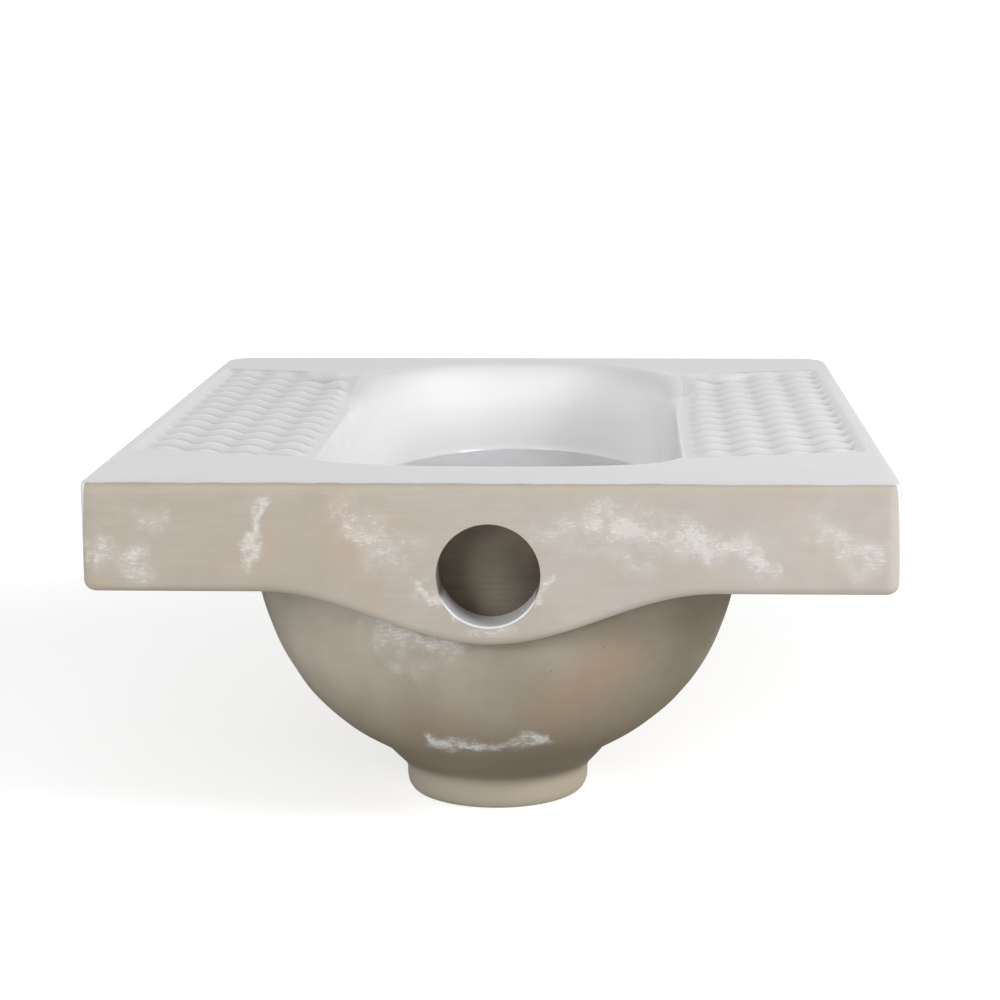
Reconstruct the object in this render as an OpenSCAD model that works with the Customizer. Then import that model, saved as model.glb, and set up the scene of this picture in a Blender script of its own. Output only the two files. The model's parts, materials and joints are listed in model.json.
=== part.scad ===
// Squat toilet pan in fired clay: a glazed deck with two foot treads round a deep bowl,
// a hollow flush channel round the bowl, an inlet in the rear face and an outlet spigot below.
// Origin: centre of the outlet spigot's lower face. +Y runs to the front end, +Z is up.
// Lengths are in millimetres.

/* [Pan] */
// Width of the deck
pan_w = 430; // [415:1:460]
// Length of the deck, from the rear face to the front end
pan_l = 530; // [515:1:570]
// Height of the deck's top above the spigot's lower face
pan_h = 190; // [184:1:215]
// Distance from the rear face to the outlet's axis
outlet_set = 95; // [93:1:105]
// Radius of the long edges of the deck and the skirts
edge_r = 5; // [3:0.5:6]
// Plan radius of the two rear corners
rear_corner_r = 8; // [5:0.5:10]
// Plan radius of the two front corners
front_corner_r = 20; // [13:0.5:26]

/* [Deck and skirts] */
// Thickness of the deck slab
deck_t = 15; // [13.5:0.5:18]
// Depth of the skirts below the deck's top
skirt_h = 59; // [50:1:66]
// Wall of the skirts and of the front apron
skirt_t = 11; // [9:0.5:13]
// How far the skirts lean in at their lower edge
skirt_lean = 1; // [0.5:0.5:4]
// Length of the side returns that belong to the front apron
apron_return = 25; // [22:1:40]
// Wall of the rear apron
rear_apron_t = 11; // [9:0.5:12]
// How far the rear apron bulges down under the inlet
bulge_drop = 28; // [22:1:34]
// Half of the bulge's width
bulge_half_w = 120; // [90:1:140]

/* [Mouth and bowl] */
// Width of the bowl's mouth
mouth_w = 208; // [190:1:212]
// Land between the rear face and the mouth
rear_land = 60; // [58:1:70]
// Land between the mouth and the front end
front_land = 33; // [31:1:50]
// How far the far lip leans in through the deck slab
lip_lean = 10; // [6:1:14]
// Wall of the bowl
bowl_t = 10; // [8:0.5:11]
// How far the well bulges behind the mouth's rear edge
well_bulge = 45; // [30:1:46]
// Fall of the bowl's far wall below the deck slab, down to the start of the floor
wall_fall = 45; // [36:1:52]
// Height of the floor above the spigot's top where it meets the well
floor_end_h = 67; // [58:1:74]

/* [Flush channel] */
// Wall of the flush channel's outer shell
jacket_t = 10; // [8:0.5:11]
// Clear width of the channel along the sides
channel_side = 16; // [10:0.5:20]
// Clear width of the channel behind the bowl
channel_rear = 25; // [20:0.5:25]
// Clear width of the channel at the front
channel_front = 8; // [6:0.5:9]
// Diameter of the flush inlet
inlet_d = 54.6; // [44:0.2:56]
// Depth of the inlet's centre below the deck's top
inlet_drop = 49; // [46:0.5:52]
// Length of the inlet's bore, apron and collar together
inlet_len = 25; // [22:0.5:27]
// Wall of the collar round the inlet
collar_wall = 6; // [4:0.5:6]
// Width of each flush mouth in the bowl's rear wall
flush_mouth_w = 30; // [20:1:36]
// Height of each flush mouth
flush_mouth_h = 12; // [8:1:16]
// Distance from the pan's middle to each flush mouth
flush_mouth_x = 55; // [50:1:60]
// Depth of the flush mouths below the deck slab
flush_mouth_drop = 22; // [18:1:30]

/* [Outlet] */
// Outer diameter of the outlet spigot
spigot_d = 102; // [98:0.5:106]
// Diameter of the outlet's bore
throat_d = 80; // [74:0.5:84]
// Height of the spigot
spigot_h = 18; // [17:0.5:20]
// Length of the spigot's straight part
spigot_straight = 11; // [9:0.5:12]
// Widening of the bore at the spigot's top, on each side
throat_flare = 2; // [1:0.5:3]

/* [Treads] */
// Number of ridges on each tread
tread_rows = 14; // [8:1:18]
// Number of wave lobes across each tread
tread_lobes = 4; // [2:1:5]
// Distance between ridges
row_pitch = 25; // [22:0.5:25]
// Distance from the rear face to the treads
tread_set = 95; // [92:1:100]
// Flat margin between each tread and the deck's side
tread_margin = 7; // [6.5:0.5:12]
// Distance from the pan's middle to where the lobes begin
lobe_start = 109.5; // [107:0.5:112]
// Depth of the bed that each tread fills
tread_bed = 9; // [8.5:0.5:9.5]
// Height of the ridges
ridge_h = 1.6; // [1:0.1:1.8]
// Crown of each lobe
lobe_h = 1.2; // [0.6:0.1:1.4]
// Bow of each ridge along the pan
ridge_bow = 3; // [0:0.5:5]
// Depth of the ridge tops at the outer side
tread_out = 0.5; // [0.2:0.1:1]
// Depth of the ridge tops beside the bowl
tread_in = 4; // [2:0.1:4.4]
// Fall of the shoulder from the lobes to the mouth's edge
shoulder_fall = 1.6; // [0.5:0.1:1.7]

/* [Hidden] */
$fn = 96;

glaze = [0.93, 0.93, 0.94];
clay = [0.74, 0.70, 0.65];
eps = 0.01;
over = 5;

half_w = pan_w / 2;
y_rear = -outlet_set;
y_front = pan_l - outlet_set;
deck_z = pan_h - deck_t;
skirt_z = pan_h - skirt_h;
inlet_z = pan_h - inlet_drop;
collar_r = inlet_d / 2 + collar_wall;
throat_r = throat_d / 2;
well_r = throat_r + throat_flare;
apron_in_y = y_rear + rear_apron_t;
return_y = y_front - apron_return;

// Number of steps round half of the front end and half of the rear end of each bowl section
seg_front = 14;
seg_rear = 10;
half_n = seg_front + seg_rear;
ring_n = 2 * half_n;
// Rings drawn between two neighbouring sections
sub_rings = 3;

// The bowl's sections, from the deck slab down to the spigot. Each list has one value a section.
// Depth at the rear, as a share of the bowl's depth
rear_depth = [0, 0.16, 0.41, 0.57, 0.69, 0.78, 0.88, 0.925, 1];
// Depth at the front end of the wall sections, as a share of wall_fall
front_depth = [0, 0.31, 0.60, 0.80, 1];
// Half width, as a share of the way from the spigot's bore to the mouth's side
width_share = [1, 0.99, 0.97, 0.93, 0.84, 0.65, 0.29, 0.07, 0];
// How much of well_bulge each section takes at its rear end
bulge_share = [0, 0, 0.27, 0.67, 0.93, 1, 0.72, 0.34];
// Length at the front, as a share of the way from the spigot's bore to the mouth's far edge
length_share = [1, 0.965, 0.915, 0.86, 0.75, 0.61, 0.22, 0.075, 0];
// Straight part of each side, as a share of the section's length in front of the outlet
straight_share = [0.39, 0.38, 0.29, 0.16, 0.05, 0.02, 0, 0, 0];
// Roundness of the front and rear ends
front_power = [2.85, 2.8, 2.5, 2.2, 1.9, 1.7, 1.7, 1.8, 2];
rear_power = [2.6, 2.6, 2.5, 2.4, 2.3, 2.2, 2.1, 2, 2];
// Share of the flush channel's width, and of its shell's wall, that each section keeps
channel_share = [1, 0.92, 0.68, 0.25, 0, 0];
shell_share = [1, 1, 0.9, 0.8, 0.4, 0.15];

function mix(a, b, t) = a + (b - a) * t;
function ease(t) = t <= 0 ? 0 : t >= 1 ? 1 : t * t * (3 - 2 * t);
function power(v, p) = v <= 0 ? 0 : pow(v, p);
function unit(v) = v / norm(v);
function curve(a, b, c, d, t) = 0.5 * (2 * b + (c - a) * t + (2 * a - 5 * b + 4 * c - d) * t * t
    + (3 * b - a - 3 * c + d) * t * t * t);

mouth_half = mouth_w / 2;
mouth_y0 = y_rear + rear_land;
mouth_y1 = y_front - front_land;
lip_y1 = mouth_y1 - lip_lean;
turn_y = mouth_y0 + 45;
bowl_depth = deck_z - spigot_h;
floor_top = deck_z - wall_fall;
floor_end = spigot_h + floor_end_h;
// How much sooner the sections at the floor's sides start to climb towards the front
climb_lead = 16;
sections = len(rear_depth) - 1;
shell_sections = len(channel_share) - 1;

function front_z(k) = k <= 4 ? deck_z - front_depth[k] * wall_fall
    : k == 5 ? mix(floor_top, floor_end, 0.27)
    : k == 6 ? floor_end
    : k == 7 ? spigot_h + 0.56 * floor_end_h
    : spigot_h;
// One section: rear height, front height, half width, rear end, front end, where the rear and
// front ends begin to turn, their two powers, and where the section starts to climb
function section(k) = [
    deck_z - rear_depth[k] * bowl_depth,
    front_z(k),
    mix(well_r, mouth_half, width_share[k]),
    k == sections ? -well_r : mouth_y0 - well_bulge * bulge_share[k],
    mix(well_r, lip_y1, length_share[k]),
    k == sections ? 0 : mix(turn_y, 0, k / sections),
    mix(mix(turn_y, 0, k / sections), mix(well_r, lip_y1, length_share[k]), straight_share[k]),
    front_power[k],
    rear_power[k],
    k >= sections - 1 ? 0 : mouth_y0 - (k > 3 && k < 6 ? climb_lead : 0)];
mouth_section = [pan_h, pan_h, mouth_half, mouth_y0, mouth_y1, turn_y,
    mix(turn_y, mouth_y1, 0.37), front_power[0], rear_power[0], mouth_y0];

function half_point(s, k) = k <= seg_front
    ? let (a = 90 - 90 * k / (seg_front + 0.5))
        [s[2] * power(cos(a), 2 / s[7]), s[6] + (s[4] - s[6]) * power(sin(a), 2 / s[7])]
    : let (a = 90 * (k - seg_front - 0.5) / (seg_rear - 0.5))
        [s[2] * power(cos(a), 2 / s[8]), s[5] - (s[5] - s[3]) * power(sin(a), 2 / s[8])];
function lift(s, p) = [p[0], p[1], mix(s[0], s[1], ease((p[1] - s[9]) / (s[4] - s[9])))];
function ring(s) = concat(
    [for (k = [0 : half_n]) lift(s, half_point(s, k))],
    [for (k = [half_n - 1 : -1 : 1]) let (p = half_point(s, k)) lift(s, [-p[0], p[1]])]);
function between(k, t) = curve(section(max(k - 1, 0)), section(k), section(k + 1),
    section(min(k + 2, sections)), t);
function rings(last) = concat(
    [for (k = [0 : last - 1]) for (i = [0 : sub_rings - 1]) ring(between(k, i / sub_rings))],
    [ring(section(last))]);

// Outward direction at point j of ring i. The top and bottom rings keep to their own level.
function outward(g, i, j) =
    let (n = len(g), m = ring_n,
        down = g[min(i + 1, n - 1)][j] - g[max(i - 1, 0)][j],
        along = g[i][(j + 1) % m] - g[i][(j + m - 1) % m],
        v = cross(along, down))
    unit(i == 0 || i == n - 1 ? [v[0], v[1], 0] : v);

function at(list, i) = let (k = min(floor(i / sub_rings), len(list) - 2))
    mix(list[k], list[k + 1], i / sub_rings - k);
bowl_in = rings(sections);
bowl_last = len(bowl_in) - 1;
// The wall keeps its thickness down to the last section, and there meets the spigot's flare.
spigot_r = spigot_d / 2;
flare_r = 10;
flare_top = spigot_r + flare_r - sqrt(flare_r * flare_r - pow(spigot_h - spigot_straight, 2));
neck_t = flare_top - well_r;
function wall(i) = mix(bowl_t, neck_t, ease(1 + (i - bowl_last) / (2 * sub_rings)));
bowl_dir = [for (i = [0 : bowl_last]) [for (j = [0 : ring_n - 1]) outward(bowl_in, i, j)]];
// Least rise of the outer wall from ring to ring, so that the neck never dips below the spigot's top
neck_rise = 0.8;
function above_neck(p, i) = [p[0], p[1], max(p[2], spigot_h + neck_rise * (bowl_last - i))];
bowl_out = [for (i = [0 : bowl_last]) [for (j = [0 : ring_n - 1])
    above_neck(bowl_in[i][j] + bowl_dir[i][j] * wall(i), i)]];

// Clear width of the channel at a point: wider behind the bowl and narrower at the front
function channel(p) = channel_side
    + (channel_rear - channel_side) * ease((turn_y - p[1]) / (turn_y - mouth_y0))
    + (channel_front - channel_side) * ease((p[1] - mix(turn_y, lip_y1, 0.55)) / (0.4 * (lip_y1 - turn_y)));
shell_last = shell_sections * sub_rings;
shell_in = [for (i = [0 : shell_last]) [for (j = [0 : ring_n - 1])
    bowl_out[i][j] + bowl_dir[i][j] * channel(bowl_in[i][j]) * at(channel_share, i)]];
shell_out = [for (i = [0 : shell_last]) [for (j = [0 : ring_n - 1])
    shell_in[i][j] + bowl_dir[i][j] * jacket_t * at(shell_share, i)]];

// Joins the right halves of two stacks of rings, the inner and the outer, into one closed wall
// that ends in the pan's middle plane
module half_wall(inner, outer) {
    n = len(inner);
    m = half_n + 1;
    o = n * m;
    e = o - m;
    pts = [for (g = [inner, outer]) for (r = g) for (j = [0 : half_n]) r[j]];
    skin = [for (i = [0 : n - 2]) for (j = [0 : m - 2]) let (a = i * m + j, b = a + 1)
        each [[a, b, a + m], [b, b + m, a + m],
            [o + b, o + a, o + a + m], [o + b, o + a + m, o + b + m]]];
    rims = [for (j = [0 : m - 2]) let (k = j + 1)
        each [[k, j, o + j], [k, o + j, o + k],
            [e + j, e + k, o + e + j], [e + k, o + e + k, o + e + j]]];
    cuts = [for (i = [0 : n - 2]) let (a = i * m, c = a + m - 1)
        each [[a, a + m, o + a + m], [a, o + a + m, o + a],
            [c + m, c, o + c], [c + m, o + c, o + c + m]]];
    polyhedron(points = pts, faces = concat(skin, rims, cuts), convexity = 8);
}

// A closed stack of rings
module stack(r) {
    n = len(r);
    m = len(r[0]);
    skin = [for (i = [0 : n - 2]) for (j = [0 : m - 1]) let (a = i * m + j, b = i * m + (j + 1) % m)
        each [[b, a, a + m], [b, a + m, b + m]]];
    polyhedron(points = [for (x = r) each x],
        faces = concat([[for (j = [0 : m - 1]) j]], skin, [[for (j = [m - 1 : -1 : 0]) (n - 1) * m + j]]),
        convexity = 4);
}

module edge_cut(r) {
    difference() {
        translate([-r, -r]) square(r + over);
        translate([-r, -r]) circle(r);
    }
}

// Front view of the deck and skirts: straight sides that lean in, and rounded long edges
module front_outline(bottom) {
    lean = skirt_lean * (pan_h - bottom) / skirt_h;
    difference() {
        polygon([[-half_w, pan_h], [half_w, pan_h], [half_w - lean, bottom], [lean - half_w, bottom]]);
        for (s = [0, 1]) mirror([s, 0]) translate([half_w, pan_h]) edge_cut(edge_r);
    }
}

module side_outline() {
    difference() {
        translate([y_rear, 0]) square([pan_l, pan_h]);
        translate([y_front, pan_h]) edge_cut(edge_r);
        translate([y_rear, pan_h]) mirror([1, 0]) edge_cut(edge_r);
    }
}

module plan_outline() {
    difference() {
        translate([-half_w, y_rear]) square([pan_w, pan_l]);
        for (s = [0, 1]) mirror([s, 0]) {
            translate([half_w, y_front]) edge_cut(front_corner_r);
            translate([half_w, y_rear]) mirror([0, 1]) edge_cut(rear_corner_r);
        }
    }
}

// The block that the deck, the skirts and the aprons are all cut from
module block(bottom) {
    intersection() {
        linear_extrude(pan_h) plan_outline();
        translate([0, y_front + over, 0]) rotate([90, 0, 0])
            linear_extrude(pan_l + 2 * over) front_outline(bottom);
        translate([-half_w - over, 0, 0]) rotate([90, 0, 90])
            linear_extrude(pan_w + 2 * over) side_outline();
    }
}

tread_y0 = y_rear + tread_set;
tread_len = tread_rows * row_pitch;
tread_x1 = half_w - tread_margin;
bed_z = pan_h - tread_bed;

// The mouth's opening through the deck slab
bed_share = tread_bed / deck_t;
lip_section = section(0);
function stretched(t) = lip_section + (mouth_section - lip_section) * t;

module deck() {
    color(glaze) difference() {
        block(deck_z);
        stack([ring(stretched(1 + 2 / deck_t)), ring(mouth_section), ring(lip_section),
            ring(stretched(-2 / deck_t))]);
        translate([-tread_x1, tread_y0, bed_z]) cube([2 * tread_x1, tread_len, tread_bed + over]);
    }
}

// Half width of the mouth at the level of the tread's bed
bed_section = stretched(1 - bed_share);
function mouth_at(y) = let (s = bed_section)
    y > s[6] ? s[2] * power(1 - power((y - s[6]) / (s[4] - s[6]), s[7]), 1 / s[7])
    : y < s[5] ? s[2] * power(1 - power((s[5] - y) / (s[5] - s[3]), s[8]), 1 / s[8])
    : s[2];

lobe_pitch = (tread_x1 + 2.5 - lobe_start) / tread_lobes;
cells_row = 4;
cells_lobe = 4;
cells_in = 3;
tread_i = tread_rows * cells_row;
tread_j = cells_in + tread_lobes * cells_lobe;
function tread_x(y, j) = j < cells_in ? mix(mouth_at(y), lobe_start, j / cells_in)
    : min(lobe_start + lobe_pitch * (j - cells_in) / cells_lobe, tread_x1);
// Height of the tread above its bed at row position v and across position x
function tread_top(v, x, x0) =
    let (inner = x < lobe_start,
        swell = inner ? 0 : abs(sin(180 * (x - lobe_start) / lobe_pitch)),
        ridge = abs(sin(180 * v)),
        side = power((tread_x1 - max(x, lobe_start)) / (tread_x1 - lobe_start), 1.5),
        fade = inner ? ease((x - x0) / (lobe_start - x0)) : ease((tread_x1 - x) / 6),
        fall = inner ? shoulder_fall * (lobe_start - x) / (lobe_start - x0) : 0)
    tread_bed - mix(tread_out, tread_in, side) - fall
        - (inner ? lobe_h : lobe_h * (1 - swell) * fade) - ridge_h * (1 - ridge) * fade;
function tread_point(i, j) =
    let (v = i / cells_row,
        hold = min(1, v, tread_rows - v),
        y0 = tread_y0 + v * row_pitch,
        x = tread_x(y0, j),
        bow = j < cells_in ? 0 : ridge_bow * abs(sin(180 * (x - lobe_start) / lobe_pitch)) * hold
            * ease((tread_x1 - x) / 6))
    [x, y0 + bow, bed_z + tread_top(v, x, mouth_at(y0))];

module tread() {
    m = tread_j + 1;
    top = [for (i = [0 : tread_i]) for (j = [0 : tread_j]) tread_point(i, j)];
    rim = concat(
        [for (j = [0 : tread_j]) j],
        [for (i = [1 : tread_i]) i * m + tread_j],
        [for (j = [tread_j - 1 : -1 : 0]) tread_i * m + j],
        [for (i = [tread_i - 1 : -1 : 1]) i * m]);
    n = len(top);
    q = len(rim);
    base = [for (k = rim) [top[k][0], top[k][1], bed_z]];
    middle = [mix(lobe_start, tread_x1, 0.5), tread_y0 + tread_len / 2, bed_z];
    skin = [for (i = [0 : tread_i - 1]) for (j = [0 : tread_j - 1]) let (a = i * m + j)
        each [[a, a + m, a + 1], [a + 1, a + m, a + m + 1]]];
    sides = [for (k = [0 : q - 1]) let (l = (k + 1) % q)
        each [[rim[k], rim[l], n + l], [rim[k], n + l, n + k]]];
    under = [for (k = [0 : q - 1]) [n + k, n + (k + 1) % q, n + q]];
    polyhedron(points = concat(top, base, [middle]), faces = concat(skin, sides, under), convexity = 8);
}

module tread_left() {
    color(glaze) mirror([1, 0, 0]) tread();
}

module tread_right() {
    color(glaze) tread();
}

module bowl_half() {
    mouth_size = [flush_mouth_w, 3.5 * bowl_t, flush_mouth_h];
    difference() {
        half_wall(bowl_in, bowl_out);
        translate([flush_mouth_x, mouth_y0 - 0.25 * bowl_t, deck_z - flush_mouth_drop])
            cube(mouth_size, center = true);
    }
}

module bowl_left() {
    color(glaze) mirror([1, 0, 0]) bowl_half();
}

module bowl_right() {
    color(glaze) bowl_half();
}

module jacket_half() {
    difference() {
        half_wall(shell_in, shell_out);
        translate([0, mouth_y0 - bowl_t, inlet_z]) rotate([90, 0, 0]) cylinder(h = rear_land, r = collar_r);
    }
}

module jacket_left() {
    color(clay) mirror([1, 0, 0]) jacket_half();
}

module jacket_right() {
    color(clay) jacket_half();
}

module inlet_collar() {
    color(clay) translate([0, apron_in_y, inlet_z]) rotate([-90, 0, 0]) difference() {
        cylinder(h = inlet_len - rear_apron_t, r = collar_r);
        translate([0, 0, -over]) cylinder(h = inlet_len + 2 * over, d = inlet_d);
    }
}

module outlet_spigot() {
    color(clay) difference() {
        union() {
            cylinder(h = spigot_h, r = spigot_r);
            translate([0, 0, spigot_straight]) rotate_extrude() difference() {
                square([flare_top, spigot_h - spigot_straight]);
                translate([spigot_r + flare_r, 0]) circle(flare_r);
            }
        }
        translate([0, 0, -over]) cylinder(h = spigot_h + 2 * over, r = throat_r);
        translate([0, 0, spigot_h / 2]) cylinder(h = spigot_h / 2 + eps, r1 = throat_r, r2 = well_r);
    }
}

// Lower edge of the rear apron: straight at the sides, with a bulge round the inlet
function bulge(x) = skirt_z - bulge_drop * (1 + cos(180 * x / bulge_half_w)) / 2;
bulge_n = 30;

module rear_apron() {
    color(clay) difference() {
        intersection() {
            block(skirt_z - bulge_drop);
            translate([0, apron_in_y, 0]) rotate([90, 0, 0]) linear_extrude(rear_apron_t + over) {
                difference() {
                    translate([-half_w, skirt_z]) square([pan_w, deck_z - skirt_z]);
                    for (s = [0, 1]) mirror([s, 0]) translate([half_w - skirt_lean, skirt_z])
                        mirror([0, 1]) edge_cut(edge_r);
                }
                polygon(concat([[bulge_half_w, skirt_z + over], [-bulge_half_w, skirt_z + over]],
                    [for (k = [0 : bulge_n]) let (x = bulge_half_w * (2 * k / bulge_n - 1)) [x, bulge(x)]]));
            }
        }
        translate([0, y_rear - over, inlet_z]) rotate([-90, 0, 0])
            cylinder(h = rear_apron_t + 2 * over, d = inlet_d);
    }
}

module skirt_outline() {
    difference() {
        front_outline(skirt_z);
        translate([skirt_t - half_w, 0]) square([pan_w, pan_h + over]);
        translate([-half_w, deck_z]) square([pan_w, deck_t + over]);
        translate([skirt_lean - half_w, skirt_z]) rotate(180) edge_cut(edge_r);
    }
}

module skirt() {
    translate([0, return_y, 0]) rotate([90, 0, 0])
        linear_extrude(return_y - apron_in_y) skirt_outline();
}

module skirt_left() {
    color(clay) skirt();
}

module skirt_right() {
    color(clay) mirror([1, 0, 0]) skirt();
}

module front_apron() {
    inner_r = front_corner_r - skirt_t;
    color(clay) difference() {
        intersection() {
            block(skirt_z);
            translate([-half_w, return_y, skirt_z]) cube([pan_w, apron_return, deck_z - skirt_z]);
        }
        translate([0, 0, skirt_z - over]) linear_extrude(skirt_h) difference() {
            translate([skirt_t - half_w, return_y - over])
                square([pan_w - 2 * skirt_t, apron_return + over - skirt_t]);
            for (s = [0, 1]) mirror([s, 0]) translate([half_w - skirt_t, y_front - skirt_t])
                edge_cut(inner_r);
        }
    }
}

deck();
tread_left();
tread_right();
bowl_left();
bowl_right();
jacket_left();
jacket_right();
inlet_collar();
outlet_spigot();
rear_apron();
front_apron();
skirt_left();
skirt_right();
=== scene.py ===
"""Looks of a squat toilet pan: a glazed deck, treads and bowl over raw fired clay.

Shapes are worked out in millimetres in the part's own frame and written to the meshes in metres.
"""
import json
import math

import bmesh
import bpy
import numpy as np
from mathutils import Matrix, Vector


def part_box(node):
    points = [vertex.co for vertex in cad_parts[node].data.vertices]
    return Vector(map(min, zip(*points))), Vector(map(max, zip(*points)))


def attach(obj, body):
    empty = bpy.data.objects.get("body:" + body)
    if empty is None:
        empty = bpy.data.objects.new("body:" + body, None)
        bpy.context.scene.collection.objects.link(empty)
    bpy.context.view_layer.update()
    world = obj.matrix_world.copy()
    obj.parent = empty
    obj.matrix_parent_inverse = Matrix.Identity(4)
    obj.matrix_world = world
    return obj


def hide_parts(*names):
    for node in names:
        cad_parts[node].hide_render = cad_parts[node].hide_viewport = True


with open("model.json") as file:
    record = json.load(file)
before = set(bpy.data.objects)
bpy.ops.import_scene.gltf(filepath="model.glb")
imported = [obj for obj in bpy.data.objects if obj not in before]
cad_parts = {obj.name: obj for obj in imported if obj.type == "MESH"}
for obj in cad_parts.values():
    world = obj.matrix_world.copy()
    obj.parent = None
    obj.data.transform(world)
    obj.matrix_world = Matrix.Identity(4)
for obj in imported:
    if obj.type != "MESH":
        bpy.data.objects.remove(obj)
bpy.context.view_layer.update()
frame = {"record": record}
MM = 0.001

# ---------------------------------------------------------------- sizes, in millimetres
deck_low, deck_high = [np.array(corner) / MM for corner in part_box("deck")]
HALF_W = deck_high[0]
Y_REAR, Y_FRONT = deck_low[1], deck_high[1]
DECK_Z, TOP_Z = deck_low[2], deck_high[2]
SKIRT_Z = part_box("skirt_left")[0][2] / MM
APRON_IN_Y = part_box("rear_apron")[1][1] / MM
RETURN_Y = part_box("front_apron")[0][1] / MM
BULGE_DROP = SKIRT_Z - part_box("rear_apron")[0][2] / MM
SPIGOT_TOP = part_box("outlet_spigot")[1][2] / MM
mounts = {m["name"]: m for m in frame["record"]["mounts"]}
SPIGOT_R = mounts["outlet"]["dims"]["r_mm"]
INLET_R = mounts["flush_inlet"]["dims"]["r_mm"]
INLET_LEN = mounts["flush_inlet"]["dims"]["length_mm"]
INLET_Z = mounts["flush_inlet"]["pos_m"][2] / MM

EDGE_RUN = {"rear": 7.0, "side": 2.8}
EDGE_FALL = 3.0
EDGE_ROWS = [182.0, 178.5]
CORNER_R = {"rear": 8.0, "front": 20.0}
WALL_T = 11.0
LEAN = 0.4
BULGE_HALF_W = 120.0
INSET = 7.0

MOUTH_HALF = 104.0
REAR_LAND, FRONT_LAND = 60.0, 33.0
TURN_LEAD, RIM_STRAIGHT = 45.0, 0.37
LIP_LEAN = 10.0
BOWL_T = 10.0
WELL_BULGE = 45.0
WALL_FALL = 48.0
FLOOR_END_H = 67.0
FLOOR_Z, FLOOR_FALL = 135.0, 6.0
FLOOR_END_Y, FLOOR_FADE, FLOOR_SINK = 300.0, 120.0, 125.0
FLOOR_BLEND, FLOOR_BLEND_RUN = 6.0, 40.0
WELL_R = 42.0
THROAT_R = 40.0
FLARE_R = 10.0
SPIGOT_STRAIGHT = 11.0
FOOT_H, FOOT_RUN = 8.5, 5.5
CLIMB_LEAD = 16.0
NECK_RISE, NECK_Z, NECK_LEAD = 0.8, 29.5, 4.0
NECK_ROOM, NECK_ROOM_V, NECK_ROOM_FADE = 3.5, 5.2, 0.8
JACKET_T = 10.0
CHANNEL = {"side": 16.0, "rear": 25.0, "front": 8.0}
FLUSH_MOUTH = {"x": 55.0, "drop": 22.0, "half_w": 15.0, "half_h": 6.0}
COLLAR_WALL, FACE_WALL = 6.0, 2.0
LIP_ROUND = 1.3
GLAZE_T = 0.25

# The bowl's sections, one value each, from the deck slab down to the spigot
REAR_DEPTH = [0, 0.16, 0.41, 0.57, 0.69, 0.78, 0.865, 0.957, 1]
FRONT_DEPTH = [0, 0.29, 0.54, 0.75, 1]
WIDTH_SHARE = [1, 0.99, 0.94, 0.913, 0.835, 0.6, 0.279, 0.078, 0]
BULGE_SHARE = [0, 0, 0.27, 0.67, 0.93, 1, 0.72, 0.34, 0]
LENGTH_SHARE = [1, 0.977, 0.943, 0.903, 0.86, 0.63, 0.22, 0.075, 0]
STRAIGHT_SHARE = [0.39, 0.40, 0.44, 0.48, 0.5, 0.3, 0, 0, 0]
FRONT_POWER = [2.85, 2.7, 2.4, 2.1, 2.0, 1.8, 1.7, 1.8, 2]
REAR_POWER = [2.6, 2.6, 2.5, 2.4, 2.3, 2.2, 2.1, 2, 2]
CHANNEL_SHARE = [1, 0.92, 0.68, 0.25, 0, 0, 0, 0, 0]
SHELL_SHARE = [1, 1, 0.9, 0.8, 0.4, 0.15, 0.03, 0, 0]
LAST = len(REAR_DEPTH) - 1

TREAD_ROWS, TREAD_LOBES = 14, 4
TREAD_Y0, TREAD_LEN, TREAD_SLANT = -12.0, 355.0, 27.0
ROW_PITCH = TREAD_LEN / TREAD_ROWS
TREAD_X1 = HALF_W - INSET
LOBE_START, LOBE_PITCH = 109.0, 23.0
TREAD_BED, BED_GAP = 9.0, 3.0
RIDGE_H, LOBE_H, RIDGE_BOW = 1.7, 1.5, 3.5
RIDGE_LATE = 1.35
TREAD_OUT, TREAD_IN = 0.6, 4.0
FLAP = 0.8
SHOULDER_FALL = 1.6
STEP_REAR, STEP_FRONT, STEP_RIM = 5.0, 9.0, 65.0
CREASE_R, REAR_ROLL_R, CORNER_ROLL_R, FRONT_ROLL_R = 1.6, 8.0, 22.0, 12.0
CORNER_ROLL_Y, CORNER_ROLL_RUN = 150.0, 190.0
REAR_ROLL_LEAD, REAR_ROLL_RUN = 14.0, 34.0


# ---------------------------------------------------------------- curves
def mix(a, b, t):
    """a at t = 0 and b at t = 1, in a straight line."""
    return a + (b - a) * t


def ease(t):
    """Smooth step: 3t^2 - 2t^3 of t held between 0 and 1."""
    t = np.clip(t, 0, 1)
    return t * t * (3 - 2 * t)


def unit(vectors):
    """Vectors, one a row, at length 1."""
    return vectors / np.linalg.norm(vectors, axis=-1, keepdims=True)


def through(values, v):
    """Catmull-Rom curve through rows of values, read at v from 0 to the last row."""
    values = np.asarray(values, float)
    last = len(values) - 1
    k = np.clip(np.floor(v).astype(int), 0, last - 1)
    t = np.clip(v, 0, last) - k
    a, b, c, d = (values[np.clip(k + step, 0, last)] for step in (-1, 0, 1, 2))
    if values.ndim > 1:
        t = t[..., None]
    return 0.5 * (2 * b + (c - a) * t + (2 * a - 5 * b + 4 * c - d) * t**2 + (3 * b - a - 3 * c + d) * t**3)


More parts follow.
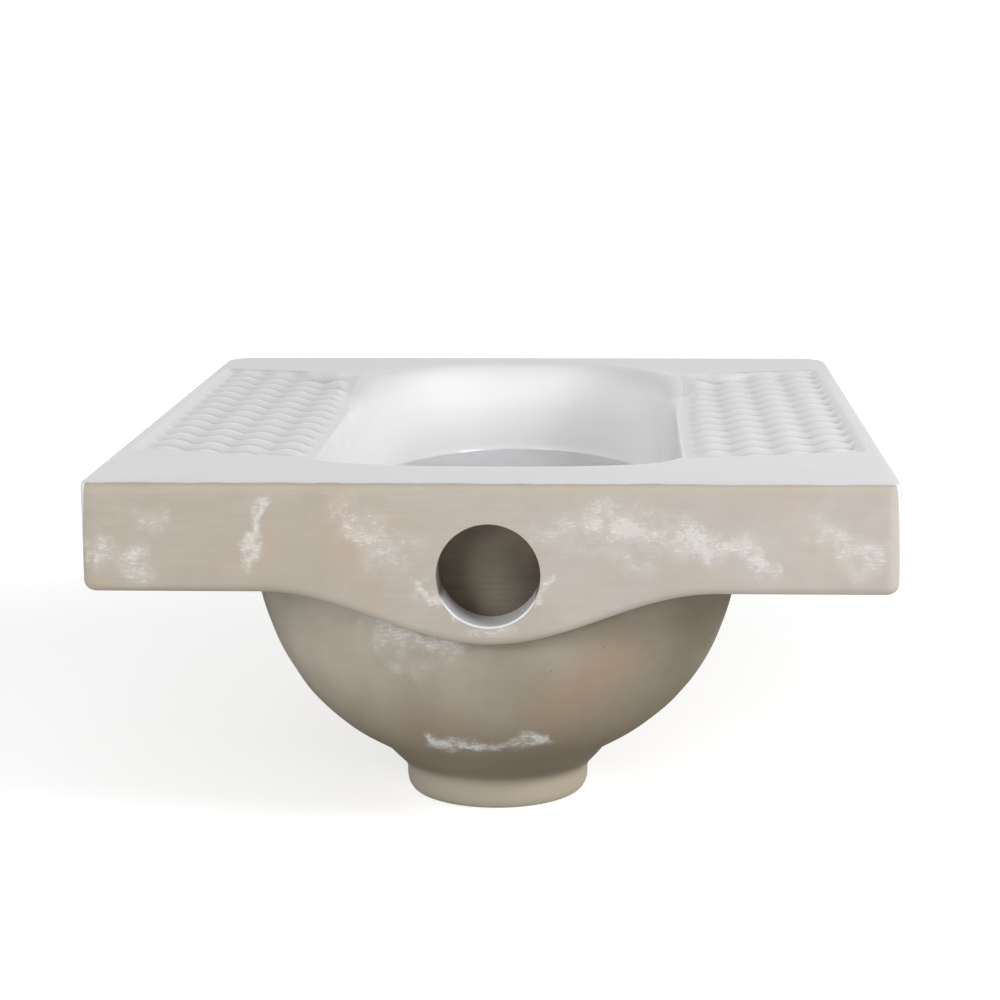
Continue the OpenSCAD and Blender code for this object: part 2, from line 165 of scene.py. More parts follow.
# ---------------------------------------------------------------- bowl
def section_table():
    """One row a section, mouth rim first: rear height, front height, half width, rear end, front
    end, where the rear and front ends begin to turn, their two powers, where the climb starts."""
    mouth_y0, mouth_y1 = Y_REAR + REAR_LAND, Y_FRONT - FRONT_LAND
    lip_y1, turn_y = mouth_y1 - LIP_LEAN, mouth_y0 + TURN_LEAD
    depth = DECK_Z - SPIGOT_TOP
    front_z = [DECK_Z - share * WALL_FALL for share in FRONT_DEPTH]
    front_z += [FLOOR_Z - FLOOR_FALL] + [SPIGOT_TOP + share * FLOOR_END_H for share in (1, 0.56, 0)]
    rows = [[TOP_Z, TOP_Z, MOUTH_HALF, mouth_y0, mouth_y1, turn_y, mix(turn_y, mouth_y1, RIM_STRAIGHT),
             FRONT_POWER[0], REAR_POWER[0], mouth_y0]]
    for k in range(LAST + 1):
        rear_turn = mix(turn_y, 0, k / LAST)
        y_front = mix(WELL_R, lip_y1, LENGTH_SHARE[k])
        y_rear = -WELL_R if k == LAST else mouth_y0 - WELL_BULGE * BULGE_SHARE[k]
        climb = 0 if k >= LAST - 1 else mouth_y0 - (CLIMB_LEAD if 3 < k < 6 else 0)
        rows.append([DECK_Z - REAR_DEPTH[k] * depth, front_z[k], mix(WELL_R, MOUTH_HALF, WIDTH_SHARE[k]),
                     y_rear, y_front, 0 if k == LAST else rear_turn,
                     mix(rear_turn, y_front, STRAIGHT_SHARE[k]), FRONT_POWER[k], REAR_POWER[k], climb])
    return np.array(rows)


SECTIONS = section_table()
MOUTH_Y0, MOUTH_Y1 = SECTIONS[0, 3], SECTIONS[0, 4]
TURN_Y = SECTIONS[0, 5]


def bowl_point(v, turn):
    """Inner surface of the bowl. v runs from -1 at the rim through 0 under the deck slab to LAST at
    the spigot. turn runs from 0 at the front pole, round the right side, to 3 at the rear pole: a
    superellipse quarter, a straight side and another quarter. Past a pole it carries on mirrored."""
    v, turn = np.broadcast_arrays(np.asarray(v, float), np.asarray(turn, float))
    flip = np.where((turn < 0) | (turn > 3), -1.0, 1.0)
    turn = np.where(turn < 0, -turn, np.where(turn > 3, 6 - turn, turn))
    s = np.moveaxis(through(SECTIONS, v + 1), -1, 0).copy()
    s[6] = np.maximum(s[6], s[5])
    angle = np.radians(90 * np.where(turn < 1, 1 - turn, np.clip(turn - 2, 0, 1)))
    power = np.where(turn < 1, s[7], s[8])
    across = np.maximum(np.cos(angle), 0) ** (2 / power)
    along = np.maximum(np.sin(angle), 0) ** (2 / power)
    x = s[2] * across
    y = np.where(turn < 1, s[6] + (s[4] - s[6]) * along,
                 np.where(turn > 2, s[5] - (s[5] - s[3]) * along, mix(s[6], s[5], np.clip(turn - 1, 0, 1))))
    z = mix(s[0], s[1], ease((y - s[9]) / (s[4] - s[9])))
    return np.stack([x * flip, y, z], -1)


def floor_height(y):
    """Level of the shallow floor at the front. Behind FLOOR_END_Y it sinks away under the bowl's own
    slope to the well, by an eased step."""
    return FLOOR_Z - FLOOR_SINK * ease((FLOOR_END_Y - y) / FLOOR_FADE)


def rest_on_floor(z, y):
    """The higher of the bowl's own surface and the shallow floor: crisp at the floor's far end, and
    behind it rounded over a gap that widens backwards."""
    floor, gap = floor_height(y), 0.05 + FLOOR_BLEND * ease((FLOOR_END_Y - y) / FLOOR_BLEND_RUN)
    return np.maximum(z, floor) + np.maximum(gap - np.abs(z - floor), 0)**2 / (4 * gap)


def bowl_outward(v, turn):
    """Outward unit direction of the bowl, from wide differences, level at the slab and the spigot. Where
    the straight side has shrunk to nothing, it still runs backwards."""
    reach_v, reach_turn = 1 / 3, 0.07
    down = bowl_point(np.minimum(v + reach_v, LAST), turn) - bowl_point(np.maximum(v - reach_v, -0.4), turn)
    along = bowl_point(v, turn + reach_turn) - bowl_point(v, turn - reach_turn) - [0, 1e-3, 0]
    n = np.cross(along, down)
    n[..., 2] *= np.clip(v / reach_v, 0, 1) * np.clip((LAST - v) / reach_v, 0, 1)
    return unit(n)


def bowl_outer(v, turn, less=0.0):
    """Outer surface of the bowl's wall: the inner one moved outwards by the wall's thickness."""
    neck_t = SPIGOT_R + FLARE_R - math.sqrt(FLARE_R**2 - (SPIGOT_TOP - SPIGOT_STRAIGHT)**2) - WELL_R
    wall = mix(BOWL_T, neck_t, ease(1 + (v - LAST) / 2)) - less
    p = bowl_point(v, turn) + bowl_outward(v, turn) * wall[..., None]
    p[..., 2] = np.maximum(p[..., 2], SPIGOT_TOP + 3 * NECK_RISE * (LAST - v))
    return p


def neck_room(v):
    """How far the skins inside the hull stand back from it at the neck."""
    return NECK_ROOM * ease((v - NECK_ROOM_V) / NECK_ROOM_FADE)


def channel_width(y):
    """Clear width of the flush channel: wider behind the bowl and narrower at the front."""
    front = mix(TURN_Y, SECTIONS[1, 4], 0.55)
    return (CHANNEL["side"] + (CHANNEL["rear"] - CHANNEL["side"]) * ease((TURN_Y - y) / (TURN_Y - MOUTH_Y0))
            + (CHANNEL["front"] - CHANNEL["side"]) * ease((y - front) / (0.4 * (SECTIONS[1, 4] - TURN_Y))))


def hull_point(v, turn):
    """Outer hull: the bowl's outer surface moved out by the channel and the jacket's wall."""
    v, turn = np.broadcast_arrays(np.asarray(v, float), np.asarray(turn, float))
    y = bowl_point(v, turn)[..., 1]
    out = channel_width(y) * through(CHANNEL_SHARE, v) + JACKET_T * through(SHELL_SHARE, v)
    return bowl_outer(v, turn) + bowl_outward(v, turn) * np.maximum(out, 0)[..., None]


# ---------------------------------------------------------------- rim of the mouth
def tread_step(y, front):
    """0 on the lands and 1 on the tread field, with a rounded step between them."""
    return ease((y - TREAD_Y0) / STEP_REAR) * ease((TREAD_Y0 + TREAD_LEN - y) / front)


def rim_height(y):
    """Height of the mouth's rim: the lands' own, and lower along the treads."""
    return TOP_Z - (TREAD_IN + LOBE_H + SHOULDER_FALL) * tread_step(y, STEP_RIM)


def rim_v(z):
    """Place of a height on the rim's upright wall, as v from -1 at the top to 0 under the slab."""
    return (TOP_Z - z) / (TOP_Z - DECK_Z) - 1


def rim_radius(y):
    """Rounding of the rim: tight along the treads, wide at the rear, widest at the front corners."""
    rear = (REAR_ROLL_R - CREASE_R) * ease((TREAD_Y0 + REAR_ROLL_LEAD - y) / REAR_ROLL_RUN)
    along = np.clip((y - CORNER_ROLL_Y) / CORNER_ROLL_RUN, 0, 1)
    corner = (CORNER_ROLL_R - CREASE_R) * along * ease(along)
    tread_y1 = TREAD_Y0 + TREAD_LEN
    front = (FRONT_ROLL_R - CORNER_ROLL_R) * ease((y - tread_y1) / (MOUTH_Y1 - tread_y1))
    return CREASE_R + rear + corner + front


def rim_frame(turn):
    """For each turn: the outer line of the rounding, its corner, the wall's v below it and the
    direction out of the mouth. Height and radius are read at the line's own length, by repetition."""
    y = bowl_point(-1.0, turn)[..., 1]
    for _ in range(4):
        height, radius = rim_height(y), rim_radius(y)
        v_top, v_wall = rim_v(height), rim_v(height - radius)
        corner = bowl_point(v_top, turn)
        ahead = bowl_point(v_top, turn + 0.02) - bowl_point(v_top, turn - 0.02)
        out = np.stack([-ahead[..., 1], ahead[..., 0], 0 * radius], -1)
        out *= np.sign(np.sum(out * (corner - [0, 150, 0]), -1, keepdims=True))
        out = unit(out)
        line = corner + out * radius[..., None]
        line[..., 2] = corner[..., 2] = height
        y = line[..., 1]
    return line, corner, v_wall, out


TABLE_TURN = np.linspace(0, 3, 3001)
TABLE_LINE = rim_frame(TABLE_TURN)[0]


def turn_at(y):
    """Turn of the rim's outer line at length y along the right side."""
    side = (TABLE_TURN > 0.25) & (TABLE_TURN < 2.6)
    return np.interp(y, TABLE_LINE[side][::-1, 1], TABLE_TURN[side][::-1])


TURN_REAR, TURN_FRONT = turn_at(TREAD_Y0), turn_at(TREAD_Y0 + TREAD_LEN)


def by_length(turns, count):
    """count turns between the two given ones, spaced evenly along the rim's outer line."""
    fine = np.linspace(*turns, 800)
    line = rim_frame(fine)[0]
    walked = np.r_[0, np.cumsum(np.linalg.norm(np.diff(line, axis=0), axis=1))]
    return np.interp(np.linspace(0, walked[-1], count), walked, fine)


# ---------------------------------------------------------------- outline of the deck and aprons
SPLIT_REAR = Y_REAR + 15
SEGMENTS = {"rear": 60, "rear_corner": 12, "rear_return": 2, "rear_flank": 10, "tread_flank": 14,
            "front_flank": 6, "front_return": 2, "front_corner": 18, "front": 50}
REAR_RUNS = ("rear", "rear_corner", "rear_return", "rear_flank")
FRONT_RUNS = ("front_flank", "front_return", "front_corner", "front")
JOINT = 0.01


def half_outline(inset):
    """Right half of the outline from the rear middle to the front middle at an inset: straight runs
    and two quarter circles whose radii shrink with the inset. Returns points and their run's name."""
    w, y0, y1 = HALF_W - inset, Y_REAR + inset, Y_FRONT - inset
    r0, r1 = max(CORNER_R["rear"] - inset, 0.6), max(CORNER_R["front"] - inset, 0.6)
    tread_y0, tread_y1 = TREAD_Y0 + TREAD_SLANT, TREAD_Y0 + TREAD_SLANT + TREAD_LEN
    runs = [
        ("rear", (0, y0), (w - r0, y0)),
        ("rear_corner", (w - r0, y0 + r0), r0, -90),
        ("rear_return", (w, y0 + r0), (w, SPLIT_REAR)),
        ("rear_flank", (w, SPLIT_REAR), (w, tread_y0)),
        ("tread_flank", (w, tread_y0 + JOINT), (w, tread_y1 - JOINT)),
        ("front_flank", (w, tread_y1), (w, RETURN_Y)),
        ("front_return", (w, RETURN_Y), (w, y1 - r1)),
        ("front_corner", (w - r1, y1 - r1), r1, 0),
        ("front", (w - r1, y1), (0, y1)),
    ]
    points, names = [], []
    for name, start, *rest in runs:
        t = np.linspace(0, 1, SEGMENTS[name] + 1)
        if len(rest) == 1:
            x, y = mix(start[0], rest[0][0], t), mix(start[1], rest[0][1], t)
        else:
            a = np.radians(rest[1] + 90 * t)
            x, y = start[0] + rest[0] * np.cos(a), start[1] + rest[0] * np.sin(a)
        fresh = name in ("rear", "tread_flank", "front_flank")
        points.append(np.stack([x, y], -1)[0 if fresh else 1:])
        names += [name] * len(points[-1])
    return np.concatenate(points), np.array(names)


RUN = half_outline(0)[1]
REAR_COUNT = np.isin(RUN, REAR_RUNS).sum()
FRONT_COUNT = np.isin(RUN, FRONT_RUNS).sum()


def level(xy, z):
    """Points of an outline at height z, with the sides' lean."""
    xy = np.asarray(xy, float)
    z = np.broadcast_to(np.asarray(z, float), xy.shape[:1])
    x = xy[:, 0] * (1 - LEAN * (TOP_Z - z) / (TOP_Z - SKIRT_Z) / HALF_W)
    return np.stack([x, xy[:, 1], z], -1)


def outline_at(inset, z):
    """The right half of the outline at an inset and a height."""
    return level(half_outline(inset)[0], z)


def both_halves(rows):
    """A half grid (row, column, xyz) from the rear middle to the front middle, closed to a ring."""
    mirrored = rows[:, -2:0:-1] * [-1, 1, 1]
    return np.concatenate([rows, mirrored], 1)


# ---------------------------------------------------------------- meshes
WELD = 0.002


def ring_faces(rows, columns, close_rows, close_columns):
    """Quads of a grid stored row by row."""
    i = np.arange(rows if close_rows else rows - 1)
    j = np.arange(columns if close_columns else columns - 1)
    i, j = np.meshgrid(i, j, indexing="ij")
    i1, j1 = (i + 1) % rows, (j + 1) % columns
    quads = np.stack([i * columns + j, i * columns + j1, i1 * columns + j1, i1 * columns + j], -1)
    return quads.reshape(-1, 4)


def make_piece(name, points, faces, materials, slot, replaced, face_material=None, hollow=None):
    """A mesh from points in millimetres, welded, with its faces turned outwards."""
    mesh = bpy.data.meshes.new(name)
    mesh.from_pydata((np.asarray(points).reshape(-1, 3) * MM).tolist(), [], faces)
    for material in materials:
        mesh.materials.append(material)
    if face_material is not None:
        mesh.polygons.foreach_set("material_index", np.asarray(face_material, np.int32))
    # Per point weight of the treads' painted shade, in their grooves and lobe valleys.
    if hollow is not None:
        mesh.attributes.new("hollow", "FLOAT", "POINT").data.foreach_set("value", hollow.astype(np.float32))
    bm = bmesh.new()
    bm.from_mesh(mesh)
    bmesh.ops.remove_doubles(bm, verts=bm.verts, dist=WELD * MM)
    bmesh.ops.recalc_face_normals(bm, faces=bm.faces)
    bm.to_mesh(mesh)
    bm.free()
    mesh.polygons.foreach_set("use_smooth", np.ones(len(mesh.polygons), bool))
    mesh.set_sharp_from_angle(angle=math.radians(50))
    piece = bpy.data.objects.new(name, mesh)
    bpy.context.scene.collection.objects.link(piece)
    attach(piece, "root")
    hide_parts(*replaced)
    return piece


def quarter_turn(steps):
    """Angles from 0 to 90 degrees, in radians."""
    return np.radians(np.linspace(0, 90, steps + 1))


def walled(inner, outer, opened):
    """A closed wall between two rings of the same size. The cells marked in opened are left out of
    both skins and walled round. Returns points, faces and the number of faces of the inner skin."""
    rows, columns = inner.shape[:2]
    count = rows * columns
    skin = ring_faces(rows, columns, False, True)[~opened.ravel()]
    index = np.arange(count).reshape(rows, columns)
    following = np.roll(index, -1, 1)
    fenced = np.pad(opened, ((1, 1), (0, 0)))
    fenced[[0, -1]] = True
    level_edge = fenced[:-1] != fenced[1:]
    level_edge[[0, -1]] |= ~opened[[0, -1]]
    upright_edge = opened != np.roll(opened, 1, 1)
    a = np.concatenate([index[level_edge], index[:-1][upright_edge]])
    b = np.concatenate([following[level_edge], index[1:][upright_edge]])
    bridge = np.stack([a, b, b + count, a + count], -1)
    faces = np.concatenate([skin, skin[:, ::-1] + count, bridge])
    return np.concatenate([inner.reshape(-1, 3), outer.reshape(-1, 3)]), faces.tolist(), len(skin)


# ---------------------------------------------------------------- the pieces' grids
def snapped(turns, wanted):
    """turns with the nearest one set to each wanted value."""
    turns = turns.copy()
    for value in wanted:
        turns[np.abs(turns - value).argmin()] = value
    return turns


def turn_at_x(x, v):
    """Turn at half width x on the rear end of the bowl's section v."""
    fine = np.linspace(2, 3, 2001)
    return np.interp(x, bowl_point(v, fine)[::-1, 0], fine[::-1])


FLUSH_Z = DECK_Z - FLUSH_MOUTH["drop"]
FINE_V = np.linspace(0, 3, 3001)
FLUSH_V = np.interp([-FLUSH_Z - FLUSH_MOUTH["half_h"], -FLUSH_Z + FLUSH_MOUTH["half_h"]],
                    -bowl_point(FINE_V, 3.0)[:, 2], FINE_V)
FLUSH_TURN = turn_at_x(FLUSH_MOUTH["x"] + np.array([1, -1]) * FLUSH_MOUTH["half_w"], FLUSH_V.mean())
REAR_TURNS = snapped(by_length((3, TURN_REAR), REAR_COUNT), FLUSH_TURN)
FRONT_TURNS = by_length((TURN_FRONT, 0), FRONT_COUNT)


def ring_turns(side_steps):
    """Turns round the right half from the rear pole to the front pole."""
    side = turn_at(np.linspace(TREAD_Y0, TREAD_Y0 + TREAD_LEN, side_steps + 1)[1:-1])
    return np.concatenate([REAR_TURNS, side, FRONT_TURNS])


def stacked_rings(circle, radii, heights):
    """A circle of unit directions as one row for each radius and height."""
    return np.stack([np.column_stack([circle * r, 0 * circle[:, 0] + z]) for r, z in zip(radii, heights)])


def bowl_grids():
    """Both skins of the bowl. Inner: a narrow flat strip, a quadratic curve over the rim, the wall by
    v down to the spigot and the throat. Outer: the wall's offset, led up under the rim."""
    turns = ring_turns(116)
    line, corner, v_wall, out = rim_frame(turns)
    strip = line - 0.4 * out
    wall_top = bowl_point(v_wall, turns)
    t = np.linspace(0, 1, 10)[:, None, None]
    rim = (1 - t)**2 * strip + 2 * t * (1 - t) * corner + t**2 * wall_top
    upper = np.linspace(0, 1, 6)[1:]
    lower = np.sort(np.r_[np.linspace(0.3, LAST, 55)[1:], np.linspace(3.02, 4.02, 20)])
    v = np.array([mix(v_wall, 0.3, s) for s in upper] + [0 * v_wall + row for row in lower])
    for place in FLUSH_V:
        v[np.abs(v[:, 0] - place).argmin()] = place
    wall = bowl_point(v, turns)
    wall[..., 2] = rest_on_floor(wall[..., 2], wall[..., 1])
    outer = bowl_outer(np.maximum(v, 0), turns, less=1.5 + neck_room(v))
    throat_z = np.array([SPIGOT_TOP - 4.5, SPIGOT_TOP / 2, SPIGOT_TOP / 4, 0.4])
    throat_r = mix(THROAT_R, WELL_R, np.clip(throat_z / (SPIGOT_TOP / 2) - 1, 0, 1))
    low = wall[-1, :, :2] / WELL_R
    throat = stacked_rings(low, throat_r, throat_z)
    skin = throat.copy()
    skin[..., :2] *= (throat_r + 1.0)[:, None, None] / throat_r[:, None, None]
    under = outer[:1].copy()
    under[..., 2] = np.minimum(line[:, 2] - 3, DECK_Z + 2)
    rim_outer = mix(line + out * 0.5 - [0, 0, 3], under[0], t)
    inner = np.concatenate([line[None], rim, wall, throat])
    outside = np.concatenate([(line - [0, 0, 2.5])[None], rim_outer, outer, skin])
    rows = np.r_[np.full(1 + len(rim), -9.0), v[:, 0], np.full(len(throat), 99.0)]
    middle_v, middle_turn = (rows[1:] + rows[:-1]) / 2, (turns + np.r_[turns[1:], 0]) / 2
    high = (middle_v > FLUSH_V[0]) & (middle_v < FLUSH_V[1]) & (rows[:-1] > 0)
    wide = (middle_turn > FLUSH_TURN[0]) & (middle_turn < FLUSH_TURN[1])
    half = high[:, None] & wide[:-1]
    return both_halves(inner), both_halves(outside), np.concatenate([half, half[:, ::-1]], 1)


def hull_grids():
    """Both skins of the outer hull: the jacket and the bowl's outside by v, then the flare over the
    spigot, the spigot with a round section, and its rounded foot."""
    turns = ring_turns(44)
    v = np.r_[np.linspace(0, 2.6, 30), np.linspace(2.6, LAST, 36)[1:]][:, None]
    outer = hull_point(v, turns)
    channel = channel_width(bowl_point(v, turns)[..., 1]) * through(CHANNEL_SHARE, v)
    inner = bowl_outer(v, turns, less=1.0 + neck_room(v)) + bowl_outward(v, turns) * channel[..., None]
    outer = smooth_neck(outer)
    a = np.arcsin((SPIGOT_TOP - SPIGOT_STRAIGHT) / FLARE_R * np.linspace(1, 0, 6)[1:])
    foot = quarter_turn(8)
    z = np.r_[SPIGOT_STRAIGHT + FLARE_R * np.sin(a), FOOT_H * (1 - np.sin(foot)), 0, 0.2, 8]
    r = np.r_[SPIGOT_R + FLARE_R * (1 - np.cos(a)), SPIGOT_R - FOOT_RUN * (1 - np.cos(foot)), 45, 41.6, 41.4]
    ring = unit(outer[-1, :, :2])
    lower = stacked_rings(ring, r, z)
    bore = stacked_rings(ring, np.full(len(z), r[-1]), np.linspace(SPIGOT_TOP - 1, z[-1], len(z)))
    inner, outer = both_halves(np.concatenate([inner, bore])), both_halves(np.concatenate([outer, lower]))
    return inlet_hole(inner, outer, INLET_R + COLLAR_WALL / 2)


def smooth_neck(outer):
    """The rows below NECK_Z as a cubic curve that leaves the hull along its own slope and meets the
    flare above the spigot at the flare's slope."""
    row, column = np.arange(len(outer))[:, None], np.arange(outer.shape[1])
    last = np.argmax(outer[..., 2] < NECK_Z, 0)
    start, lead = outer[last, column], outer[last, column] - outer[last - 1, column]
    lead *= NECK_LEAD / np.linalg.norm(lead, axis=-1, keepdims=True)
    end, rise = outer[-1], (SPIGOT_TOP - SPIGOT_STRAIGHT) / FLARE_R
    ring = unit(end * [1, 1, 0])
    arrive = (ring * rise + [0, 0, math.sqrt(1 - rise**2)]) * NECK_LEAD
    t = np.clip((row - last) / (len(outer) - 1 - last), 0, 1)[..., None]
    curve = (1 - t)**3 * start + 3 * t * (1 - t)**2 * (start + lead) + 3 * t**2 * (1 - t) * (end + arrive) \
        + t**3 * end
    return np.where((row > last)[..., None], curve, outer)


def inlet_hole(inner, outer, radius):
    """The two skins with the cells round the inlet's axis marked open, and the corners of the opening
    moved straight towards the axis or away from it, on to a circle."""
    across = outer[..., [0, 2]] - [0, INLET_Z]
    middle = (across[1:] + across[:-1] + np.roll(across, -1, 1)[1:] + np.roll(across, -1, 1)[:-1]) / 4
    opened = (np.linalg.norm(middle, axis=-1) < radius) & (outer[:-1, :, 1] < MOUTH_Y0)
    around = np.pad(opened, ((1, 1), (0, 0)))
    near = np.stack([around[1:], around[:-1], np.roll(around[1:], 1, 1), np.roll(around[:-1], 1, 1)])
    edge = near.any(0) & ~near.all(0)
    for skin in (inner, outer):
        offset = skin[edge][:, [0, 2]] - [0, INLET_Z]
        offset *= radius / np.linalg.norm(offset, axis=-1, keepdims=True)
        moved = skin[edge]
        moved[:, 0], moved[:, 2] = offset[:, 0], offset[:, 1] + INLET_Z
        skin[edge] = moved
    return inner, outer, opened


def deck_grid():
    """The deck as a profile carried round the outline: along the top from the mouth's rim (or along
    the treads' bed), over a quarter circle, down the side and back under the slab."""
    flank = half_outline(0)[0][REAR_COUNT:-FRONT_COUNT, 1]
    turns = np.concatenate([REAR_TURNS, turn_at(flank - TREAD_SLANT), FRONT_TURNS])
    line, _, _, out = rim_frame(turns)
    tread = (RUN == "tread_flank")[:, None]
    edge = (line + out * np.where(tread, BED_GAP, 0.0))[:, :2]
    bed = np.where(tread[:, 0], TOP_Z - TREAD_BED, TOP_Z)
    outer, inset = half_outline(0)[0], half_outline(INSET)[0]
    rows = [np.column_stack([edge, bed]), level(inset, bed)]
    along = np.clip(outer[:, 0] - (HALF_W - CORNER_R["rear"]), 0, None) / CORNER_R["rear"]
    run = np.where(outer[:, 1] < 0, mix(EDGE_RUN["rear"], EDGE_RUN["side"], ease(along)), EDGE_RUN["side"])
    a = quarter_turn(7)
    places = [run * (1 - np.sin(t)) for t in a] + [0 * run] * 3
    heights = np.r_[TOP_Z - EDGE_FALL * (1 - np.cos(a)), EDGE_ROWS, DECK_Z]
    rows.append(level(inset, 0 * bed + TOP_Z))
    rows += [level(mix(outer, inset, (place / INSET)[:, None]), z) for place, z in zip(places, heights)]
    rows.append(outline_at(WALL_T, DECK_Z))
    rows.append(np.column_stack([(line + out * BED_GAP)[:, :2], 0 * bed + DECK_Z]))
    return both_halves(np.stack(rows))


def tread_grid():
    """Top of the right tread. Rows follow v, the ridge count along the tread, and columns follow x.
    Height: the top less a dip that grows inwards as a power of the distance, less hollows between the
    lobes and grooves between the ridges. A ridge is a half sine whose crest lies late in its pitch.
    Each row bows forwards with the lobes. Both patterns fade out near the rim and the outer margin, and
    the whole field steps up to the lands at both ends, which run forwards on their way out. The first
    column is a flap under the rim. Returns the points, and how much painted shade each of them gets in
    the material: most in the grooves, some in the valleys between the lobes."""
    v = np.linspace(0, TREAD_ROWS, TREAD_ROWS * 16 + 1)[:, None]
    y0 = TREAD_Y0 + v * ROW_PITCH
    edge_x = rim_frame(turn_at(y0))[0][..., 0]
    start = np.maximum(LOBE_START, edge_x + 4)
    x = np.concatenate([mix(edge_x, start, np.linspace(0, 1, 17)[None]),
                        mix(start, TREAD_X1, np.linspace(0, 1, 105)[None, 1:])], 1)
    inside, outside = x - edge_x, TREAD_X1 - x
    across = np.clip((x - LOBE_START) / LOBE_PITCH, 0, TREAD_LOBES)
    swell = np.abs(np.sin(np.pi * across))**1.6 * ease((inside - 2) / 8)
    margin = ease(outside / 7)
    side = np.clip(outside / (TREAD_X1 - LOBE_START), 0, 1) ** 1.5
    groove = 1 - np.sin(np.pi * (v - np.floor(v)) ** RIDGE_LATE)
    fade = ease((inside - 3) / 8) * ease((outside - 3) / 7)
    drop = mix(TREAD_OUT, TREAD_IN, side) * margin + SHOULDER_FALL * (1 - ease(inside / 12)) \
        + LOBE_H * (1 - swell) * margin + RIDGE_H * groove * fade
    hold = np.clip(np.minimum(v, TREAD_ROWS - v), 0, 1)
    y = y0 + RIDGE_BOW * (swell - 0.35) * hold * ease(inside / 12) * ease((outside - 3) / 8)
    z = TOP_Z - drop * tread_step(y, mix(STEP_FRONT, STEP_RIM, 1 - ease(inside / 50)))
    slant = TREAD_SLANT * inside / (TREAD_X1 - edge_x)
    # Painted shade for the material: strongest in the grooves between the ridges, weaker in the valleys
    # between the lobes.
    hollow = 0.8 * groove**3 * fade + 0.3 * (1 - swell)**1.3 * margin
    top = np.stack([x, y + slant, z], -1)
    return np.concatenate([top[:, :1] - [FLAP, 0, FLAP], top], 1), np.pad(hollow, ((0, 0), (1, 0)), "edge")


def tread_mesh(side):
    """The tread's top on a wall down to its bed, closed below. side is 1 for the right, -1 for the left."""
    top, hollow = tread_grid()
    top = top * [side, 1, 1]
    rows, columns = top.shape[:2]
    index = np.arange(rows * columns).reshape(rows, columns)
    border = np.concatenate([index[0], index[1:, -1], index[-1, -2::-1], index[-2:0:-1, 0]])
    base = top.reshape(-1, 3)[border] * [1, 1, 0] + [0, 0, TOP_Z - TREAD_BED]
    lower = rows * columns + np.arange(len(border))
    wall = np.stack([border, np.roll(border, -1), np.roll(lower, -1), lower], -1)
    faces = ring_faces(rows, columns, False, False).tolist() + wall.tolist() + [lower.tolist()]
    return np.concatenate([top.reshape(-1, 3), base]), faces, np.r_[hollow.ravel(), 0 * base[:, 0]]


# ---------------------------------------------------------------- aprons and skirts
FOOT_OUT, FOOT_IN = 5.5, 3.0
FACE_ROWS = 7


def apron_grid():
    """The walls under the deck as a profile carried round the outline: down the face, over a quarter
    circle, along the lower edge, over a smaller quarter circle and up the back. The lower edge is
    level, and drops in a raised cosine round the inlet."""
    x = half_outline(0)[0][:, 0]
    swell = BULGE_DROP * (1 + np.cos(np.pi * np.clip(x / BULGE_HALF_W, -1, 1))) / 2
    low = SKIRT_Z - np.where(RUN == "rear", swell, 0)
    a, b = quarter_turn(6)[1:], quarter_turn(4)
    shares = np.linspace(0, 1, FACE_ROWS)
    rows = [outline_at(0, mix(DECK_Z, low + FOOT_OUT, t)) for t in shares]
    rows += [outline_at(FOOT_OUT * (1 - np.cos(t)), low + FOOT_OUT * (1 - np.sin(t))) for t in a]
    rows += [outline_at(WALL_T - FOOT_IN * (1 - np.sin(t)), low + FOOT_IN * (1 - np.cos(t))) for t in b]
    rows += [outline_at(WALL_T, mix(low + FOOT_IN, DECK_Z, t)) for t in shares[1:]]
    return both_halves(np.stack(rows))


def run_end(name):
    """Column of a run's last point."""
    return np.flatnonzero(RUN == name)[-1]


def sector_mesh(grid, first, last):
    """The columns first..last of the apron grid as a solid closed at both ends."""
    part = grid[:, np.arange(first, last + 1) % grid.shape[1]]
    rows, columns = part.shape[:2]
    ends = [(np.arange(rows) * columns).tolist(), (np.arange(rows) * columns + columns - 1).tolist()]
    return part.reshape(-1, 3), ring_faces(rows, columns, True, False).tolist() + ends


HOLE_STEPS = 96


def rear_apron_mesh(grid):
    """The rear sector. Its flat front and back each run straight from their border to a round hole for
    the inlet collar: one quad for each step along the border, towards the point of the circle at the
    same angle. The hole's wall joins the two circles."""
    half, flat_end = run_end("rear_return"), run_end("rear")
    points, _ = sector_mesh(grid, -half, half)
    rows, columns = len(grid), 2 * half + 1
    cell_row, cell_column = np.divmod(np.arange(rows * (columns - 1)), columns - 1)
    on_flat = (cell_column >= half - flat_end) & (cell_column < half + flat_end)
    on_face = (cell_row < FACE_ROWS - 1) | ((cell_row >= rows - FACE_ROWS) & (cell_row < rows - 1))
    faces = ring_faces(rows, columns, True, False)[~(on_flat & on_face)].tolist()
    faces += [(np.arange(rows) * columns).tolist(), (np.arange(rows) * columns + columns - 1).tolist()]
    across = half + np.arange(-flat_end, flat_end + 1)
    down = np.arange(FACE_ROWS)
    border = [np.concatenate([row[0] * columns + across[:-1], row[:-1] * columns + across[-1],
                              row[-1] * columns + across[:0:-1], row[:0:-1] * columns + across[0]])
              for row in (down, rows - 1 - down)]
    offset = points[border[0]] - [0, Y_REAR, INLET_Z]
    circle = unit(offset) * (INLET_R + FACE_WALL)
    rings = [circle + [0, y, INLET_Z] for y in (Y_REAR, APRON_IN_Y)]
    index = len(points) + np.arange(len(circle))
    for loop, ring in zip(border, (index, index + len(circle))):
        faces += np.stack([loop, np.roll(loop, -1), np.roll(ring, -1), ring], -1).tolist()
    following = np.roll(index, -1)
    faces += np.stack([index, following, following + len(index), index + len(index)], -1).tolist()
    return np.concatenate([points, *rings]), faces


